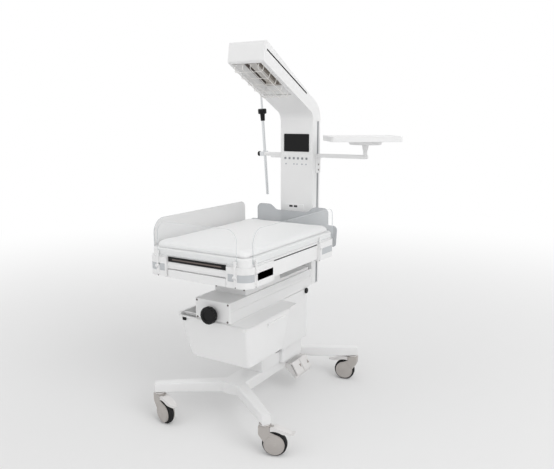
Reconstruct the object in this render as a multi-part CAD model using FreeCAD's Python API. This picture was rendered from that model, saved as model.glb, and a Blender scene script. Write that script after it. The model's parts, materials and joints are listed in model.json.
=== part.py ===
import FreeCAD, Part
import math
import os

# Infant radiant warmer on a four-legged castored base.
# Millimetres. +Z is up, +X is to the right of someone who stands at the foot end and looks along +Y,
# towards the heater column. The origin is on the floor, on the mirror plane of the base, half way
# between the front and the rear castor pivots.

Vec = FreeCAD.Vector

# General clearances
seat_gap = 0.3
running_gap = 0.05

# Castors
wheel_diameter = 125.0
tyre_width = 32.0
tyre_depth = 15.0
tyre_shoulder = 7.0
hub_width = 26.0
axle_radius = 6.0
castor_trail = 50.0
castor_height = 163.0
cheek_thickness = 5.0
cheek_gap = 2.0
cheek_disc_radius = 52.0
wheel_clearance = 5.0
fork_neck_half = 28.0
fork_head_height = 11.0
stem_radius = 10.0
stem_length = 30.0
brake_pin_radius = 3.0
brake_pin_out = 36.0
brake_pin_height = 142.0
brake_pedal_half = 23.0
brake_pedal_reach = 152.0
brake_pedal_clearance = 7.0

# Base
pivot_half_track = 335.0
pivot_front = -510.0
pivot_rear = 510.0
base_top = 217.0
spine_half = 65.0
spine_front = -330.0
spine_rear = 370.0
spine_bottom = 156.0
spine_wall = 8.0
spine_round = 10.0
leg_root_half = 31.0
leg_end_half = 23.0
leg_root_in = 35.0
leg_front_root = -285.0
leg_rear_root = 345.0
leg_overhang = 24.0
leg_round = 8.0
plinth_half = 74.0
plinth_front = -125.0
plinth_rear = 24.0
plinth_height = 108.0
plinth_step_height = 66.0
cover_wall = 3.0

# Telescopic pedestal
inner_half = 97.0
inner_front = 59.0
inner_rear = 287.0
inner_top = 575.0
inner_wall = 4.0
pad_height = 70.0
outer_half = 112.0
outer_front = 28.0
outer_rear = 318.0
outer_bottom = 308.0
pedestal_round = 14.0
actuator_radius = 32.0
actuator_tube_radius = 22.0
actuator_motor_height = 95.0

# Foot switch
foot_switch_front = 140.0
foot_switch_rear = 315.0
foot_switch_top = 181.0
foot_switch_low = 110.0
foot_switch_in = 97.0
foot_switch_out = 141.0
foot_pad_thickness = 6.0
foot_pad_lift = 6.0
foot_pad_pin_radius = 2.0
foot_ear = 4.0
foot_switch_round = 18.0
foot_mark_half = 10.0
foot_mark_high = 30.0
foot_mark_low = 52.0
foot_mark_margin = 14.0

# Beam that carries the bed, the bin and the column
beam_half = 108.0
beam_front = -470.0
beam_bottom = 605.0
beam_top = 712.0
beam_wall = 5.0
beam_round = 6.0
beam_groove_low = 664.0
beam_groove_high = 676.0
beam_groove_depth = 3.0
knob_radius = 45.0
knob_depth = 30.0
knob_standoff = 14.0
knob_height = 38.0
knob_scallops = 14
knob_scallop_radius = 7.0
knob_scallop_depth = 3.0
spindle_radius = 8.0
spindle_length = 300.0
side_knob_radius = 17.0
side_knob_height = 595.0
side_knob_depth = 9.0

# Neck with the tilt pivot
neck_half = 98.5
neck_front = -316.0
neck_rear = 350.0
neck_plate = 16.0
pylon_rear = 27.0
pylon_height = 108.0
pylon_wall = 10.5
pivot_y = -145.0
pivot_z = 790.0
tilt_shaft_radius = 10.0
lug_thickness = 17.0
lug_radius = 22.0
lug_half = 35.0

# Storage bin
bin_left = -256.0
bin_right = 216.0
bin_rim_front = -474.0
bin_rim_rear = -28.0
bin_rim_width = 10.0
bin_rim_thickness = 4.0
bin_drop = 4.0
bin_depth = 216.0
bin_left_taper = 62.0
bin_right_taper = 2.0
bin_front_taper = 17.0
bin_rear_taper = 77.0
bin_wall = 3.5
bin_left_corner = 56.0
bin_right_corner = 20.0
bin_latch_x = -184.0
bin_bar_width = 12.0
bin_bar_height = 10.0
bin_bar_front = -400.0
bin_bar_rear = -70.0
runner_half = 30.0
runner_wall = 4.0
bin_cover_thickness = 3.0
bin_cover_rear = 22.0
bin_grip_front = -280.0
bin_grip_rear = -100.0
bin_grip_height = 180.0
bin_bumper = 18.0

# Bed
bed_half = 295.0
bed_front = -586.0
bed_rear = 288.0
bed_bottom = 850.0
bed_top = 976.0
bed_corner = 47.0
bed_wall = 6.0
deck_height = 950.0
mattress_half = 260.0
mattress_front = -550.0
mattress_rear = 262.0
mattress_top = 1003.0
mattress_round = 14.0
mattress_lap = 26.0
mattress_lap_end = 28.0
mattress_lap_rear = 20.0
slot_half = 182.0
slot_low = 912.0
slot_high = 945.0
slot_depth = 456.0
tray_wall = 4.0
tray_length = 446.0
tray_scoop_half = 60.0
side_slot_front = -382.0
side_slot_rear = 86.0
side_slot_low = 927.0
side_slot_high = 933.0
side_slot_depth = 4.0
foot_step = 26.0
foot_step_top = 880.0
rail_half = 176.0
rail_low = 836.0
rail_high = 875.0
rail_thickness = 12.0
rail_forward = 6.0
rail_post = 14.0

# Corner blocks and panel hinges
block_thickness = 11.0
block_low = 838.0
block_high = 936.0
block_foot = 28.0
block_front_reach = 182.0
block_front_length = 212.0
block_rear_start = 90.0
block_rear_reach = 200.0
strip_low = 868.0
strip_high = 904.0
strip_depth = 3.0
strip_margin = 9.0
strip_rear_start = 128.0
strip_rear_end = 252.0
hinge_height = 912.0
foot_hinge_drop = 22.0
hinge_pin_radius = 2.5
hinge_half = 5.0
hinge_standoff = 7.0
strap_thickness = 5.0
strap_gap = 0.7
strap_grip = 20.0
bow_half = 4.0
bow_proud = 7.0
bow_margin = 7.0

# Panels round the mattress
panel_thickness = 5.0
panel_top = 1112.0
foot_panel_half = 239.0
foot_panel_low = 946.0
foot_panel_corner = 60.0
foot_strap_x = 234.0
side_panel_front = -548.0
side_panel_rear = 262.0
side_panel_low = 948.0
side_panel_front_corner = 75.0
side_panel_rear_corner = 40.0
side_strap_front = -533.0
side_strap_rear = 100.0
head_panel_y = 318.0
head_panel_thickness = 6.0
head_panel_low = 876.0
head_panel_ear_half = 302.0
head_panel_ear_top = 1000.0
head_panel_half = 243.0
head_panel_top = 1098.0
head_panel_mid = 1066.0
head_panel_lobe = 95.0
channel_in = 165.0
channel_out = 195.0
channel_top = 960.0

# Column and head
column_half = 111.0
column_front = 373.0
column_rear = 463.0
column_bottom = 612.0
column_top = 1600.0
column_wall = 4.0
column_round = 5.0
rail_slot_front = 420.0
rail_slot_rear = 445.0
rail_slot_low = 618.0
rail_slot_high = 1592.0
side_rail_depth = 14.0
side_rail_wall = 3.0
side_rail_mouth = 9.0
head_slope = 25.7
head_top_slope = 28.6
fascia_top_y = -138.0
fascia_top_z = 1999.0
fascia_bottom_y = -157.0
fascia_bottom_z = 1889.8
head_outer_round = 120.0
head_inner_round = 55.0
head_wall = 4.0
head_groove_low = 62.0
head_groove_width = 8.0
head_groove_depth = 2.0
head_groove_run = 120.0
mouth_front_y = -145.0
mouth_length = 334.0
mouth_half = 92.0
bezel_flange = 4.0
bezel_lip = 3.0
bezel_wall = 2.5
throat_half = 74.0
throat_depth = 40.0
throat_inset = 26.0
reflector_side = 62.0
reflector_top = 79.5
reflector_round = 30.0
reflector_sheet = 1.5
heater_radius = 9.0
heater_height = 56.0
guard_wire_radius = 1.6
guard_drop = 32.0
guard_bend = 9.0
guard_cross_wires = 5
guard_long_wires = 4

# Column front
display_half = 85.0
display_low = 1415.0
display_high = 1519.0
display_proud = 3.0
key_side = 12.0
key_height = 1375.0
key_first = -76.0
key_pitch = 28.8
key_count = 6
key_proud = 1.8
key_clearance = 0.3
key_flange = 1.5
lamp_radius = 4.0
lamp_height = 1341.0
lamp_places = (-72.0, -17.0, 4.0, 38.0, 65.0)
module_left = -72.0
module_right = 54.0
module_low = 997.0
module_high = 1101.0
module_proud = 5.0
socket_height = 1088.0
socket_places = (-33.0, -1.0)
socket_half = 12.0

# Shelf on its arm
bracket_front = 406.0
bracket_rear = 458.0
bracket_low = 1290.0
arm_low = 1381.0
arm_high = 1403.0
bracket_thickness = 6.0
arm_depth = 26.0
post_x = 415.0
post_y = 433.0
post_radius = 12.0
post_top = 1430.0
spigot_radius = 9.0
sleeve_top = 1462.0
sleeve_radius_top = 20.0
shelf_boss_radius = 97.0
shelf_boss_height = 20.0
shelf_length = 390.0
shelf_width = 330.0
shelf_height = 30.0
shelf_corner = 18.0
shelf_recess = 3.0
shelf_rim = 8.0
shelf_yaw = 36.0
shelf_shift = -25.0

# Infusion pole on the left
pole_x = -262.0
pole_y = 434.0
pole_arm_y = 410.0
pole_arm_z = 1394.0
pole_lean = 6.5
pole_radius = 9.0
pole_wall = 1.6
pole_below = 262.0
pole_above = 240.0
clamp_half = 15.0
pole_rod_radius = 6.5
pole_rod_up = 400.0
pole_rod_inside = 150.0
collar_length = 72.0
collar_low_radius = 15.0
collar_top_radius = 26.0
collar_top_length = 30.0
arm_block_end = -195.0
arm_end = -246.0
pole_knob_radius = 15.0
pole_knob_length = 16.0
hook_reach = 55.0
hook_radius = 4.0
stud_radius = 5.0
stud_end = 8.0

# Screws
screw_radius = 5.0
screw_height = 2.5
screw_inset_top = 10.0
screw_inset_low = 9.0
screw_inset_side = 11.0


def box(x0, x1, y0, y1, z0, z1):
    return Part.makeBox(x1 - x0, y1 - y0, z1 - z0, Vec(x0, y0, z0))


def rod(radius, start, end):
    start = Vec(*start)
    axis = Vec(*end).sub(start)
    return Part.makeCylinder(radius, axis.Length, start, axis)


def fuse(first, *others):
    return first.fuse(list(others)).removeSplitter()


def turned(shape, centre, axis, angle):
    copy = shape.copy()
    copy.rotate(Vec(*centre), Vec(*axis), angle)
    return copy


def moved(shape, x, y, z):
    copy = shape.copy()
    copy.translate(Vec(x, y, z))
    return copy


def mirrored(shape):
    return shape.mirror(Vec(0, 0, 0), Vec(1, 0, 0))


def rounded_wire(corners, place):
    """Closed wire through (u, v, radius) corners; each radius is an arc tangent to both its sides."""
    starts, arcs = [], []
    count = len(corners)
    for i, (u, v, radius) in enumerate(corners):
        here = Vec(u, v, 0)
        before = Vec(corners[i - 1][0], corners[i - 1][1], 0).sub(here).normalize()
        after = Vec(corners[(i + 1) % count][0], corners[(i + 1) % count][1], 0).sub(here).normalize()
        if radius == 0:
            starts.append((here, here))
            arcs.append(None)
            continue
        half = before.getAngle(after) / 2
        run = radius / math.tan(half)
        bisector = (before + after).normalize()
        middle = here + bisector * (radius / math.sin(half) - radius)
        starts.append((here + before * run, here + after * run))
        arcs.append(middle)
    edges = []
    for i in range(count):
        first, second = starts[i]
        if arcs[i] is not None:
            points = [place(p.x, p.y) for p in (first, arcs[i], second)]
            edges.append(Part.Arc(*points).toShape())
        following = starts[(i + 1) % count][0]
        if second.distanceToPoint(following) > 1e-6:
            edges.append(Part.makeLine(place(second.x, second.y), place(following.x, following.y)))
    return Part.Wire(edges)


def slab(corners, axis, low, high):
    """Solid of a rounded outline, extruded along one axis from low to high."""
    places = {
        "x": lambda u, v: Vec(low, u, v),
        "y": lambda u, v: Vec(u, low, v),
        "z": lambda u, v: Vec(u, v, low),
    }
    ways = {"x": Vec(1, 0, 0), "y": Vec(0, 1, 0), "z": Vec(0, 0, 1)}
    face = Part.Face(rounded_wire(corners, places[axis]))
    return face.extrude(ways[axis] * (high - low))


def rectangle(u0, u1, v0, v1, radius):
    return [(u0, v0, radius), (u1, v0, radius), (u1, v1, radius), (u0, v1, radius)]


def block(x0, x1, y0, y1, z0, z1, radius):
    """Upright box with rounded vertical edges."""
    return slab(rectangle(x0, x1, y0, y1, radius), "z", z0, z1)


def frustum(low_corners, high_corners, low, high):
    """Solid between two rounded outlines at two heights."""
    wires = [rounded_wire(low_corners, lambda u, v: Vec(u, v, low)),
             rounded_wire(high_corners, lambda u, v: Vec(u, v, high))]
    return Part.makeLoft(wires, True, True)


def is_upright(edge):
    first, last = edge.Vertexes[0].Point, edge.Vertexes[-1].Point
    span = last.sub(first)
    return len(edge.Vertexes) == 2 and span.Length > 0 and abs(span.z) > 0.999 * span.Length


def bent_wire(points, bend, radius):
    """Round wire along straight runs, with each bend made as two equal mitred turns."""
    points = [Vec(*p) for p in points]
    path = [points[0]]
    for i in range(1, len(points) - 1):
        before = points[i - 1].sub(points[i]).normalize()
        after = points[i + 1].sub(points[i]).normalize()
        path += [points[i] + before * bend, points[i] + after * bend]
    path.append(points[-1])
    ring = Part.Wire(Part.Circle(path[0], path[1].sub(path[0]), radius).toShape())
    mitred = 1
    return Part.makePolygon(path).makePipeShell([ring], True, False, mitred)


def round_bar(steps, centre, axis):
    """Solid of revolution from (distance along the axis, radius) steps."""
    points = [Vec(0, 0, steps[0][0])] + [Vec(radius, 0, along) for along, radius in steps]
    points.append(Vec(0, 0, steps[-1][0]))
    solid = Part.Face(Part.makePolygon(points + points[:1])).revolve(Vec(0, 0, 0), Vec(0, 0, 1), 360)
    solid.Placement = FreeCAD.Placement(Vec(*centre), FreeCAD.Rotation(Vec(0, 0, 1), Vec(*axis)))
    return solid


def rounded_steps(start, end, radius, rounding):
    """Steps of a round bar whose two rims are eased by a pair of chamfers each."""
    small = rounding * 0.3
    return [(start, radius - rounding), (start + small, radius - small), (start + rounding, radius),
            (end - rounding, radius), (end - small, radius - small), (end, radius - rounding)]


# Castors. Each is built with its stem on the Z axis and its wheel trailing along +X.

wheel_radius = wheel_diameter / 2
cheek_inside = tyre_width / 2 + cheek_gap
cheek_outside = cheek_inside + cheek_thickness
fork_top = castor_height - seat_gap
neck_top = fork_top - fork_head_height


def castor_wheel():
    """Rubber tyre and its moulded hub, two solids that turn together."""
    half = tyre_width / 2
    rim = wheel_radius - tyre_depth
    tyre = round_bar(rounded_steps(-half, half, wheel_radius, tyre_shoulder),
                     (castor_trail, 0, wheel_radius), (0, 1, 0))
    tyre = tyre.cut(rod(rim, (castor_trail, -half, wheel_radius), (castor_trail, half, wheel_radius)))
    side = hub_width / 2
    hub = rod(rim, (castor_trail, -side, wheel_radius), (castor_trail, side, wheel_radius))
    for sign in (-1, 1):
        dish = rod(rim - 6, (castor_trail, sign * (side - 5), wheel_radius),
                   (castor_trail, sign * side, wheel_radius))
        boss = rod(axle_radius + 7, (castor_trail, sign * (side - 5), wheel_radius),
                   (castor_trail, sign * side, wheel_radius))
        hub = hub.cut(dish.cut(boss))
    hub = hub.cut(rod(axle_radius + running_gap, (castor_trail, -half, wheel_radius),
                      (castor_trail, half, wheel_radius)))
    return Part.makeCompound([tyre, hub])


def cheek_outline():
    """Side view of a fork cheek, from its neck down the back of the wheel to the axle."""
    back = -fork_neck_half
    return [
        (back, neck_top, 0),
        (back, wheel_radius + 48, 30),
        (castor_trail - cheek_disc_radius, wheel_radius + 12, 0),
        (castor_trail, wheel_radius, 0),
        (castor_trail + 12, wheel_radius + cheek_disc_radius - 2, 0),
        (fork_neck_half, neck_top - 26, 6),
        (fork_neck_half, neck_top, 0),
    ]


def castor_fork():
    """Swivel head, crown over the wheel, two cheeks that end in round wheel covers, and the axle."""
    outline = cheek_outline()
    cheeks = []
    for sign in (-1, 1):
        near, far = sorted((sign * cheek_inside, sign * cheek_outside))
        neck = slab(outline, "y", near, far)
        disc = rod(cheek_disc_radius, (castor_trail, near, wheel_radius), (castor_trail, far, wheel_radius))
        cheeks.append(neck.fuse(disc))
    crown = slab(outline, "y", -cheek_inside, cheek_inside)
    crown = crown.cut(rod(wheel_radius + wheel_clearance, (castor_trail, -cheek_outside, wheel_radius),
                          (castor_trail, cheek_outside, wheel_radius)))
    head = rod(fork_neck_half, (0, 0, neck_top), (0, 0, fork_top))
    stem = rod(stem_radius, (0, 0, neck_top), (0, 0, fork_top + stem_length))
    axle = rod(axle_radius, (castor_trail, -cheek_outside - 2, wheel_radius),
               (castor_trail, cheek_outside + 2, wheel_radius))
    knuckle_half = cheek_inside / 2
    knuckle = rod(brake_pin_radius + 3.5, (brake_pin_out, -knuckle_half, brake_pin_height),
                  (brake_pin_out, knuckle_half, brake_pin_height))
    web = box(fork_neck_half - 4, brake_pin_out, -knuckle_half, knuckle_half,
              brake_pin_height - 5, brake_pin_height + 5)
    fork = cheeks[0].fuse([cheeks[1], crown, head, stem, axle, knuckle, web])
    fork = fork.cut(rod(brake_pin_radius + running_gap, (brake_pin_out, -cheek_outside, brake_pin_height),
                        (brake_pin_out, cheek_outside, brake_pin_height)))
    return fork.removeSplitter()


def brake_pedal():
    """Long foot pedal over the wheel, with an arched underside and an upturned tip."""
    top = neck_top
    tip = brake_pedal_reach
    half = brake_pedal_half
    outline = [
        (fork_neck_half + 2, top - 24, 0),
        (fork_neck_half + 2, top - 2, 3),
        (castor_trail + 6, top - 1, 30),
        (tip - 48, top - 15, 40),
        (tip - 18, top - 27, 12),
        (tip, top - 24, 2),
        (tip - 3, top - 31, 3),
        (tip - 20, top - 33, 8),
        (tip - 46, top - 34, 16),
    ]
    pedal = slab(outline, "y", -half, half)
    plan = slab([(fork_neck_half, -half, 0), (castor_trail + 20, -half, 20), (tip + 1, -half * 0.7, 12),
                 (tip + 1, half * 0.7, 12), (castor_trail + 20, half, 20), (fork_neck_half, half, 0)],
                "z", 0, castor_height)
    pedal = pedal.common(plan)
    arch = rod(wheel_radius + brake_pedal_clearance, (castor_trail, -brake_pedal_half - 1, wheel_radius),
               (castor_trail, brake_pedal_half + 1, wheel_radius))
    pedal = pedal.cut(arch)
    slot_half_width = cheek_inside / 2 + 0.5
    slot = box(fork_neck_half, brake_pin_out + brake_pin_radius + 6, -slot_half_width, slot_half_width,
               brake_pin_height - 20, brake_pin_height + brake_pin_radius + 6)
    pin = rod(brake_pin_radius, (brake_pin_out, -slot_half_width, brake_pin_height),
              (brake_pin_out, slot_half_width, brake_pin_height))
    return pedal.cut(slot).fuse(pin).removeSplitter()


castors = {
    "front_right": (pivot_half_track, pivot_front, 20.0),
    "front_left": (-pivot_half_track, pivot_front, -15.0),
    "rear_right": (pivot_half_track, pivot_rear, 192.0),
    "rear_left": (-pivot_half_track, pivot_rear, 200.0),
}


def at_castor(shape, place):
    x, y, heading = place
    return moved(turned(shape, (0, 0, 0), (0, 0, 1), heading), x, y, 0)


# Base

def leg(root, pivot, root_low, end_low):
    """Tapered leg between two upright rounded sections, one in the spine and one past the castor."""
    start = Vec(root[0], root[1], 0)
    way = Vec(pivot[0], pivot[1], 0).sub(start)
    length = way.Length + leg_overhang
    way.normalize()
    side = Vec(-way.y, way.x, 0)
    sections = []
    for place, half, low in ((start, leg_root_half, root_low), (start + way * length, leg_end_half, end_low)):
        corners = rectangle(-half, half, low, base_top, leg_round)
        sections.append(rounded_wire(corners, lambda u, v, p=place: p + side * u + Vec(0, 0, v)))
    return Part.makeLoft(sections, True, True)


def base_frame():
    spine = slab([(-spine_half, spine_bottom, 3), (spine_half, spine_bottom, 3),
                  (spine_half, base_top, spine_round), (-spine_half, base_top, spine_round)],
                 "y", spine_front, spine_rear)
    hollow = box(-spine_half + spine_wall, spine_half - spine_wall, spine_front + spine_wall,
                 spine_rear - spine_wall, spine_bottom - 1, base_top - spine_wall)
    frame = spine.cut(hollow)
    legs = []
    for sign in (-1, 1):
        legs.append(leg((sign * leg_root_in, leg_front_root), (sign * pivot_half_track, pivot_front),
                        spine_bottom, castor_height))
        legs.append(leg((sign * leg_root_in, leg_rear_root), (sign * pivot_half_track, pivot_rear),
                        spine_bottom + 4, castor_height))
    frame = frame.fuse(legs)
    for x, y, heading in castors.values():
        socket = rod(stem_radius + running_gap, (x, y, castor_height - 2), (x, y, fork_top + stem_length + 1))
        seat = rod(fork_neck_half + 1, (x, y, spine_bottom), (x, y, castor_height))
        frame = frame.cut([socket, seat])
    return frame.removeSplitter()


def base_plinth():
    """Cover of the supply unit, in front of the pedestal."""
    rear = inner_front - seat_gap
    top = base_top + plinth_height
    shell = block(-plinth_half, plinth_half, plinth_front, plinth_rear, base_top, top, 8)
    top_edges = [e for e in shell.Edges if e.BoundBox.ZMin > top - 0.01]
    shell = shell.makeFillet(4, top_edges)
    step = box(-plinth_half, plinth_half, plinth_rear - 10, rear, base_top, base_top + plinth_step_height)
    inside_half = spine_half - cover_wall - 9
    inside = box(-inside_half, inside_half, plinth_front + cover_wall + 9, plinth_rear - cover_wall - 9,
                 base_top - 1, top - cover_wall)
    low_inside = box(-inside_half, inside_half, plinth_rear - 20, rear - cover_wall,
                     base_top - 1, base_top + plinth_step_height - cover_wall)
    return shell.fuse(step).cut([inside, low_inside]).removeSplitter()


def inner_column():
    """Fixed tube of the telescopic pedestal, with slide pads that guide the moving cover."""
    tube = block(-inner_half, inner_half, inner_front, inner_rear, base_top, inner_top, pedestal_round)
    tube = tube.cut(block(-inner_half + inner_wall, inner_half - inner_wall, inner_front + inner_wall,
                          inner_rear - inner_wall, base_top - 1, inner_top + 1, pedestal_round - inner_wall))
    pad_low = inner_top - pad_height
    reach_x = outer_half - cover_wall - seat_gap
    middle = (inner_front + inner_rear) / 2
    pads = []
    for sign in (-1, 1):
        near, far = sorted((sign * (inner_half - 1), sign * reach_x))
        pads.append(box(near, far, middle - 30, middle + 30, pad_low, inner_top))
    pads.append(box(-30, 30, outer_front + cover_wall + seat_gap, inner_front + 1, pad_low, inner_top))
    pads.append(box(-30, 30, inner_rear - 1, outer_rear - cover_wall - seat_gap, pad_low, inner_top))
    return tube.fuse(pads).removeSplitter()


def lift_actuator():
    """Motor housing and lifting tube inside the pedestal."""
    middle = (inner_front + inner_rear) / 2
    motor = rod(actuator_radius, (0, middle, base_top), (0, middle, base_top + actuator_motor_height))
    gearbox = block(-actuator_radius, actuator_radius, middle - actuator_radius, middle + 2 * actuator_radius,
                    base_top, base_top + actuator_motor_height / 2, 8)
    tube = rod(actuator_tube_radius, (0, middle, base_top), (0, middle, inner_top - 3))
    return fuse(motor, gearbox, tube)


def outer_cover():
    """Moving cover of the pedestal, hung under the beam."""
    tube = block(-outer_half, outer_half, outer_front, outer_rear, outer_bottom, beam_bottom, pedestal_round)
    inside = block(-outer_half + cover_wall, outer_half - cover_wall, outer_front + cover_wall,
                   outer_rear - cover_wall, outer_bottom - 1, beam_bottom + 1, pedestal_round - cover_wall)
    bore = rod(stud_radius + running_gap, (outer_half - cover_wall - 1, side_knob_y, side_knob_height),
               (outer_half + 1, side_knob_y, side_knob_height))
    return tube.cut(inside).cut(bore)


side_knob_y = outer_rear - side_knob_radius - 3


def side_knob():
    """Round clamp knob on the right side of the moving cover."""
    face = outer_half + seat_gap
    knob = round_bar(rounded_steps(0, side_knob_depth, side_knob_radius, 2.5),
                     (face, side_knob_y, side_knob_height), (1, 0, 0))
    stud = rod(stud_radius, (outer_half - cover_wall - 4, side_knob_y, side_knob_height),
               (face + 2, side_knob_y, side_knob_height))
    return fuse(knob, stud)


# Foot switch. Its two pads lie on a slope that faces out and up.

def foot_slope(run, rise):
    """Point in the XZ plane at a run down the slope and a rise off it."""
    start = Vec(foot_switch_in, foot_switch_top, 0)
    way = Vec(foot_switch_out, foot_switch_low, 0).sub(start).normalize()
    off = Vec(-way.y, way.x, 0)
    return start + way * run + off * rise


def slope_outline(runs_and_rises):
    corners = []
    for run, rise, radius in runs_and_rises:
        point = foot_slope(run, rise)
        corners.append((point.x, point.y, radius))
    return corners


slope_length = math.hypot(foot_switch_out - foot_switch_in, foot_switch_top - foot_switch_low)
pad_hinge_rise = foot_pad_lift + foot_pad_thickness / 2


def pad_spans():
    """Front and rear end of each pad, between the ears of the housing."""
    middle = (foot_switch_front + foot_switch_rear) / 2
    inset = foot_ear + 0.5
    return ((foot_switch_front + inset, middle - inset / 2), (middle + inset / 2, foot_switch_rear - inset))


def pedal_housing():
    """Grey housing of the foot switch on the right of the spine, with the hinge pin of its pads."""
    outline = [
        (spine_half, spine_bottom, 0),
        (foot_switch_out - 8, foot_switch_low - 14, 6),
        (foot_switch_out + 4, foot_switch_low - 8, 4),
        (foot_switch_out, foot_switch_low, 2),
        (foot_switch_in, foot_switch_top, 4),
        (spine_half, foot_switch_top, 0),
    ]
    body = slab(outline, "y", foot_switch_front, foot_switch_rear)
    reach = foot_switch_out + 6
    plan = slab([(spine_half, foot_switch_front, 0), (reach, foot_switch_front, foot_switch_round),
                 (reach, foot_switch_rear, foot_switch_round), (spine_half, foot_switch_rear, 0)],
                "z", foot_switch_low - 20, foot_switch_top + 5)
    body = body.common(plan)
    middle = (foot_switch_front + foot_switch_rear) / 2
    ears = []
    for start in (foot_switch_front, middle - foot_ear / 2, foot_switch_rear - foot_ear):
        ear = slab(slope_outline([(-2, -4, 0), (7, -4, 0), (7, pad_hinge_rise + 3, 3), (-2, pad_hinge_rise + 3, 3)]),
                   "y", start, start + foot_ear)
        ears.append(ear)
    hinge = foot_slope(2.5, pad_hinge_rise)
    pin = rod(foot_pad_pin_radius, (hinge.x, foot_switch_front, hinge.y), (hinge.x, foot_switch_rear, hinge.y))
    return body.fuse(ears + [pin]).removeSplitter()


def foot_pad(span, points_up):
    """One pad with a raised triangle on it."""
    low, high = foot_pad_lift, foot_pad_lift + foot_pad_thickness
    front, rear = span
    pad = slab(slope_outline([(3, low, 0), (slope_length - 2, low, 2), (slope_length - 2, high, 3), (3, high, 0)]),
               "y", front, rear)
    hinge = foot_slope(2.5, pad_hinge_rise)
    barrel = rod(foot_pad_thickness / 2, (hinge.x, front, hinge.y), (hinge.x, rear, hinge.y))
    pad = pad.fuse(barrel)
    bore = rod(foot_pad_pin_radius + running_gap, (hinge.x, front - 1, hinge.y), (hinge.x, rear + 1, hinge.y))
    middle = rear - foot_mark_margin
    tip, foot = (foot_mark_high, foot_mark_low) if points_up else (foot_mark_low, foot_mark_high)
    triangle = []
    for run, offset in ((tip, 0), (foot, foot_mark_half), (foot, -foot_mark_half)):
        point = foot_slope(run, high - 0.5)
        triangle.append(Vec(point.x, middle + offset, point.y))
    off = foot_slope(0, 1) - foot_slope(0, 0)
    mark = Part.Face(Part.makePolygon(triangle + triangle[:1])).extrude(Vec(off.x, 0, off.y) * 1.5)
    return pad.cut(bore).fuse(mark).removeSplitter()


# Beam

def beam_box():
    beam_rear = column_front
    shell = box(-beam_half, beam_half, beam_front, beam_rear, beam_bottom, beam_top)
    front_edges = [e for e in shell.Edges if e.BoundBox.YMax < beam_front + 0.01]
    shell = shell.makeFillet(beam_round, front_edges)
    inside = box(-beam_half + beam_wall, beam_half - beam_wall, beam_front + beam_wall, beam_rear - beam_wall,
                 beam_bottom + beam_wall, beam_top - beam_wall)
    shell = shell.cut(inside)
    for sign in (-1, 1):
        near, far = sorted((sign * (beam_half - beam_groove_depth), sign * (beam_half + 1)))
        shell = shell.cut(box(near, far, beam_front + 9, beam_rear - 14, beam_groove_low, beam_groove_high))
    bore = rod(spindle_radius + running_gap, (0, beam_front - 1, knob_z),
               (0, beam_front + beam_wall + 1, knob_z))
    return shell.cut(bore)


knob_z = beam_bottom + knob_height
knob_back = beam_front - knob_standoff
knob_front = knob_back - knob_depth


def tilt_knob():
    """Hand knob with finger scallops and a boss that reaches the front of the beam."""
    knob = round_bar(rounded_steps(0, knob_depth, knob_radius, 6), (0, knob_front, knob_z), (0, 1, 0))
    scallops = []
    for i in range(knob_scallops):
        angle = 2 * math.pi * (i + 0.5) / knob_scallops
        out = knob_radius + knob_scallop_radius - knob_scallop_depth
        x = out * math.cos(angle)
        z = knob_z + out * math.sin(angle)
        scallops.append(rod(knob_scallop_radius, (x, knob_front - 1, z), (x, knob_back + 1, z)))
    knob = knob.cut(scallops)
    face = rod(knob_radius * 0.6, (0, knob_front - 1, knob_z), (0, knob_front + 3, knob_z))
    knob = knob.cut(face)
    boss = rod(spindle_radius + 8, (0, knob_back - 2, knob_z), (0, beam_front - seat_gap, knob_z))
    knob = knob.fuse(boss)
    return knob.cut(rod(spindle_radius, (0, knob_front + 8, knob_z), (0, beam_front, knob_z)))


def tilt_spindle():
    """Threaded spindle of the bed tilt, drawn at its outer diameter."""
    start = knob_front + 8
    return rod(spindle_radius, (0, start, knob_z), (0, start + spindle_length, knob_z))


def neck():
    """Plate on the beam and the pylon that carries the tilt pivot between its cheeks."""
    plate = box(-neck_half, neck_half, neck_front, neck_rear, beam_top, beam_top + neck_plate)
    top = beam_top + pylon_height
    profile = [
        (neck_front, beam_top, 0),
        (pylon_rear, beam_top, 0),
        (pylon_rear, beam_top + neck_plate + 6, 4),
        (pylon_rear - 46, top, 12),
        (neck_front, top, 8),
    ]
    pylon = slab(profile, "x", -neck_half, neck_half)
    inside = box(-neck_half + pylon_wall, neck_half - pylon_wall, neck_front + pylon_wall,
                 pylon_rear - pylon_wall, beam_top + neck_plate, top + 1)
    pylon = pylon.cut(inside)
    bore = rod(tilt_shaft_radius + running_gap, (-neck_half - 1, pivot_y, pivot_z),
               (neck_half + 1, pivot_y, pivot_z))
    return plate.fuse(pylon).cut(bore).removeSplitter()


# Storage bin, which slides sideways on two cross bars

bin_top = beam_bottom - bin_drop
bin_floor = bin_top - bin_depth
bar_low = bin_top - 13
hanger_gap = 0.4


def bin_shell(inset, low, high):
    left = bin_left + bin_rim_width + inset
    right = bin_right - bin_rim_width - inset
    front = bin_rim_front + bin_rim_width + inset
    rear = bin_rim_rear - bin_rim_width - inset
    wide, tight = bin_left_corner - inset, bin_right_corner - inset
    outlines = []
    for taper in (1, 0):
        x0, x1 = left + taper * bin_left_taper, right - taper * bin_right_taper
        y0, y1 = front + taper * bin_front_taper, rear - taper * bin_rear_taper
        outlines.append([(x0, y0, wide), (x1, y0, tight), (x1, y1, tight), (x0, y1, wide)])
    return frustum(outlines[0], outlines[1], low, high)


def bin_walls(height):
    """Outer face of the left and of the right wall at a height."""
    down = (bin_top - height) / bin_depth
    return (bin_left + bin_rim_width + bin_left_taper * down,
            bin_right - bin_rim_width - bin_right_taper * down)


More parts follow.
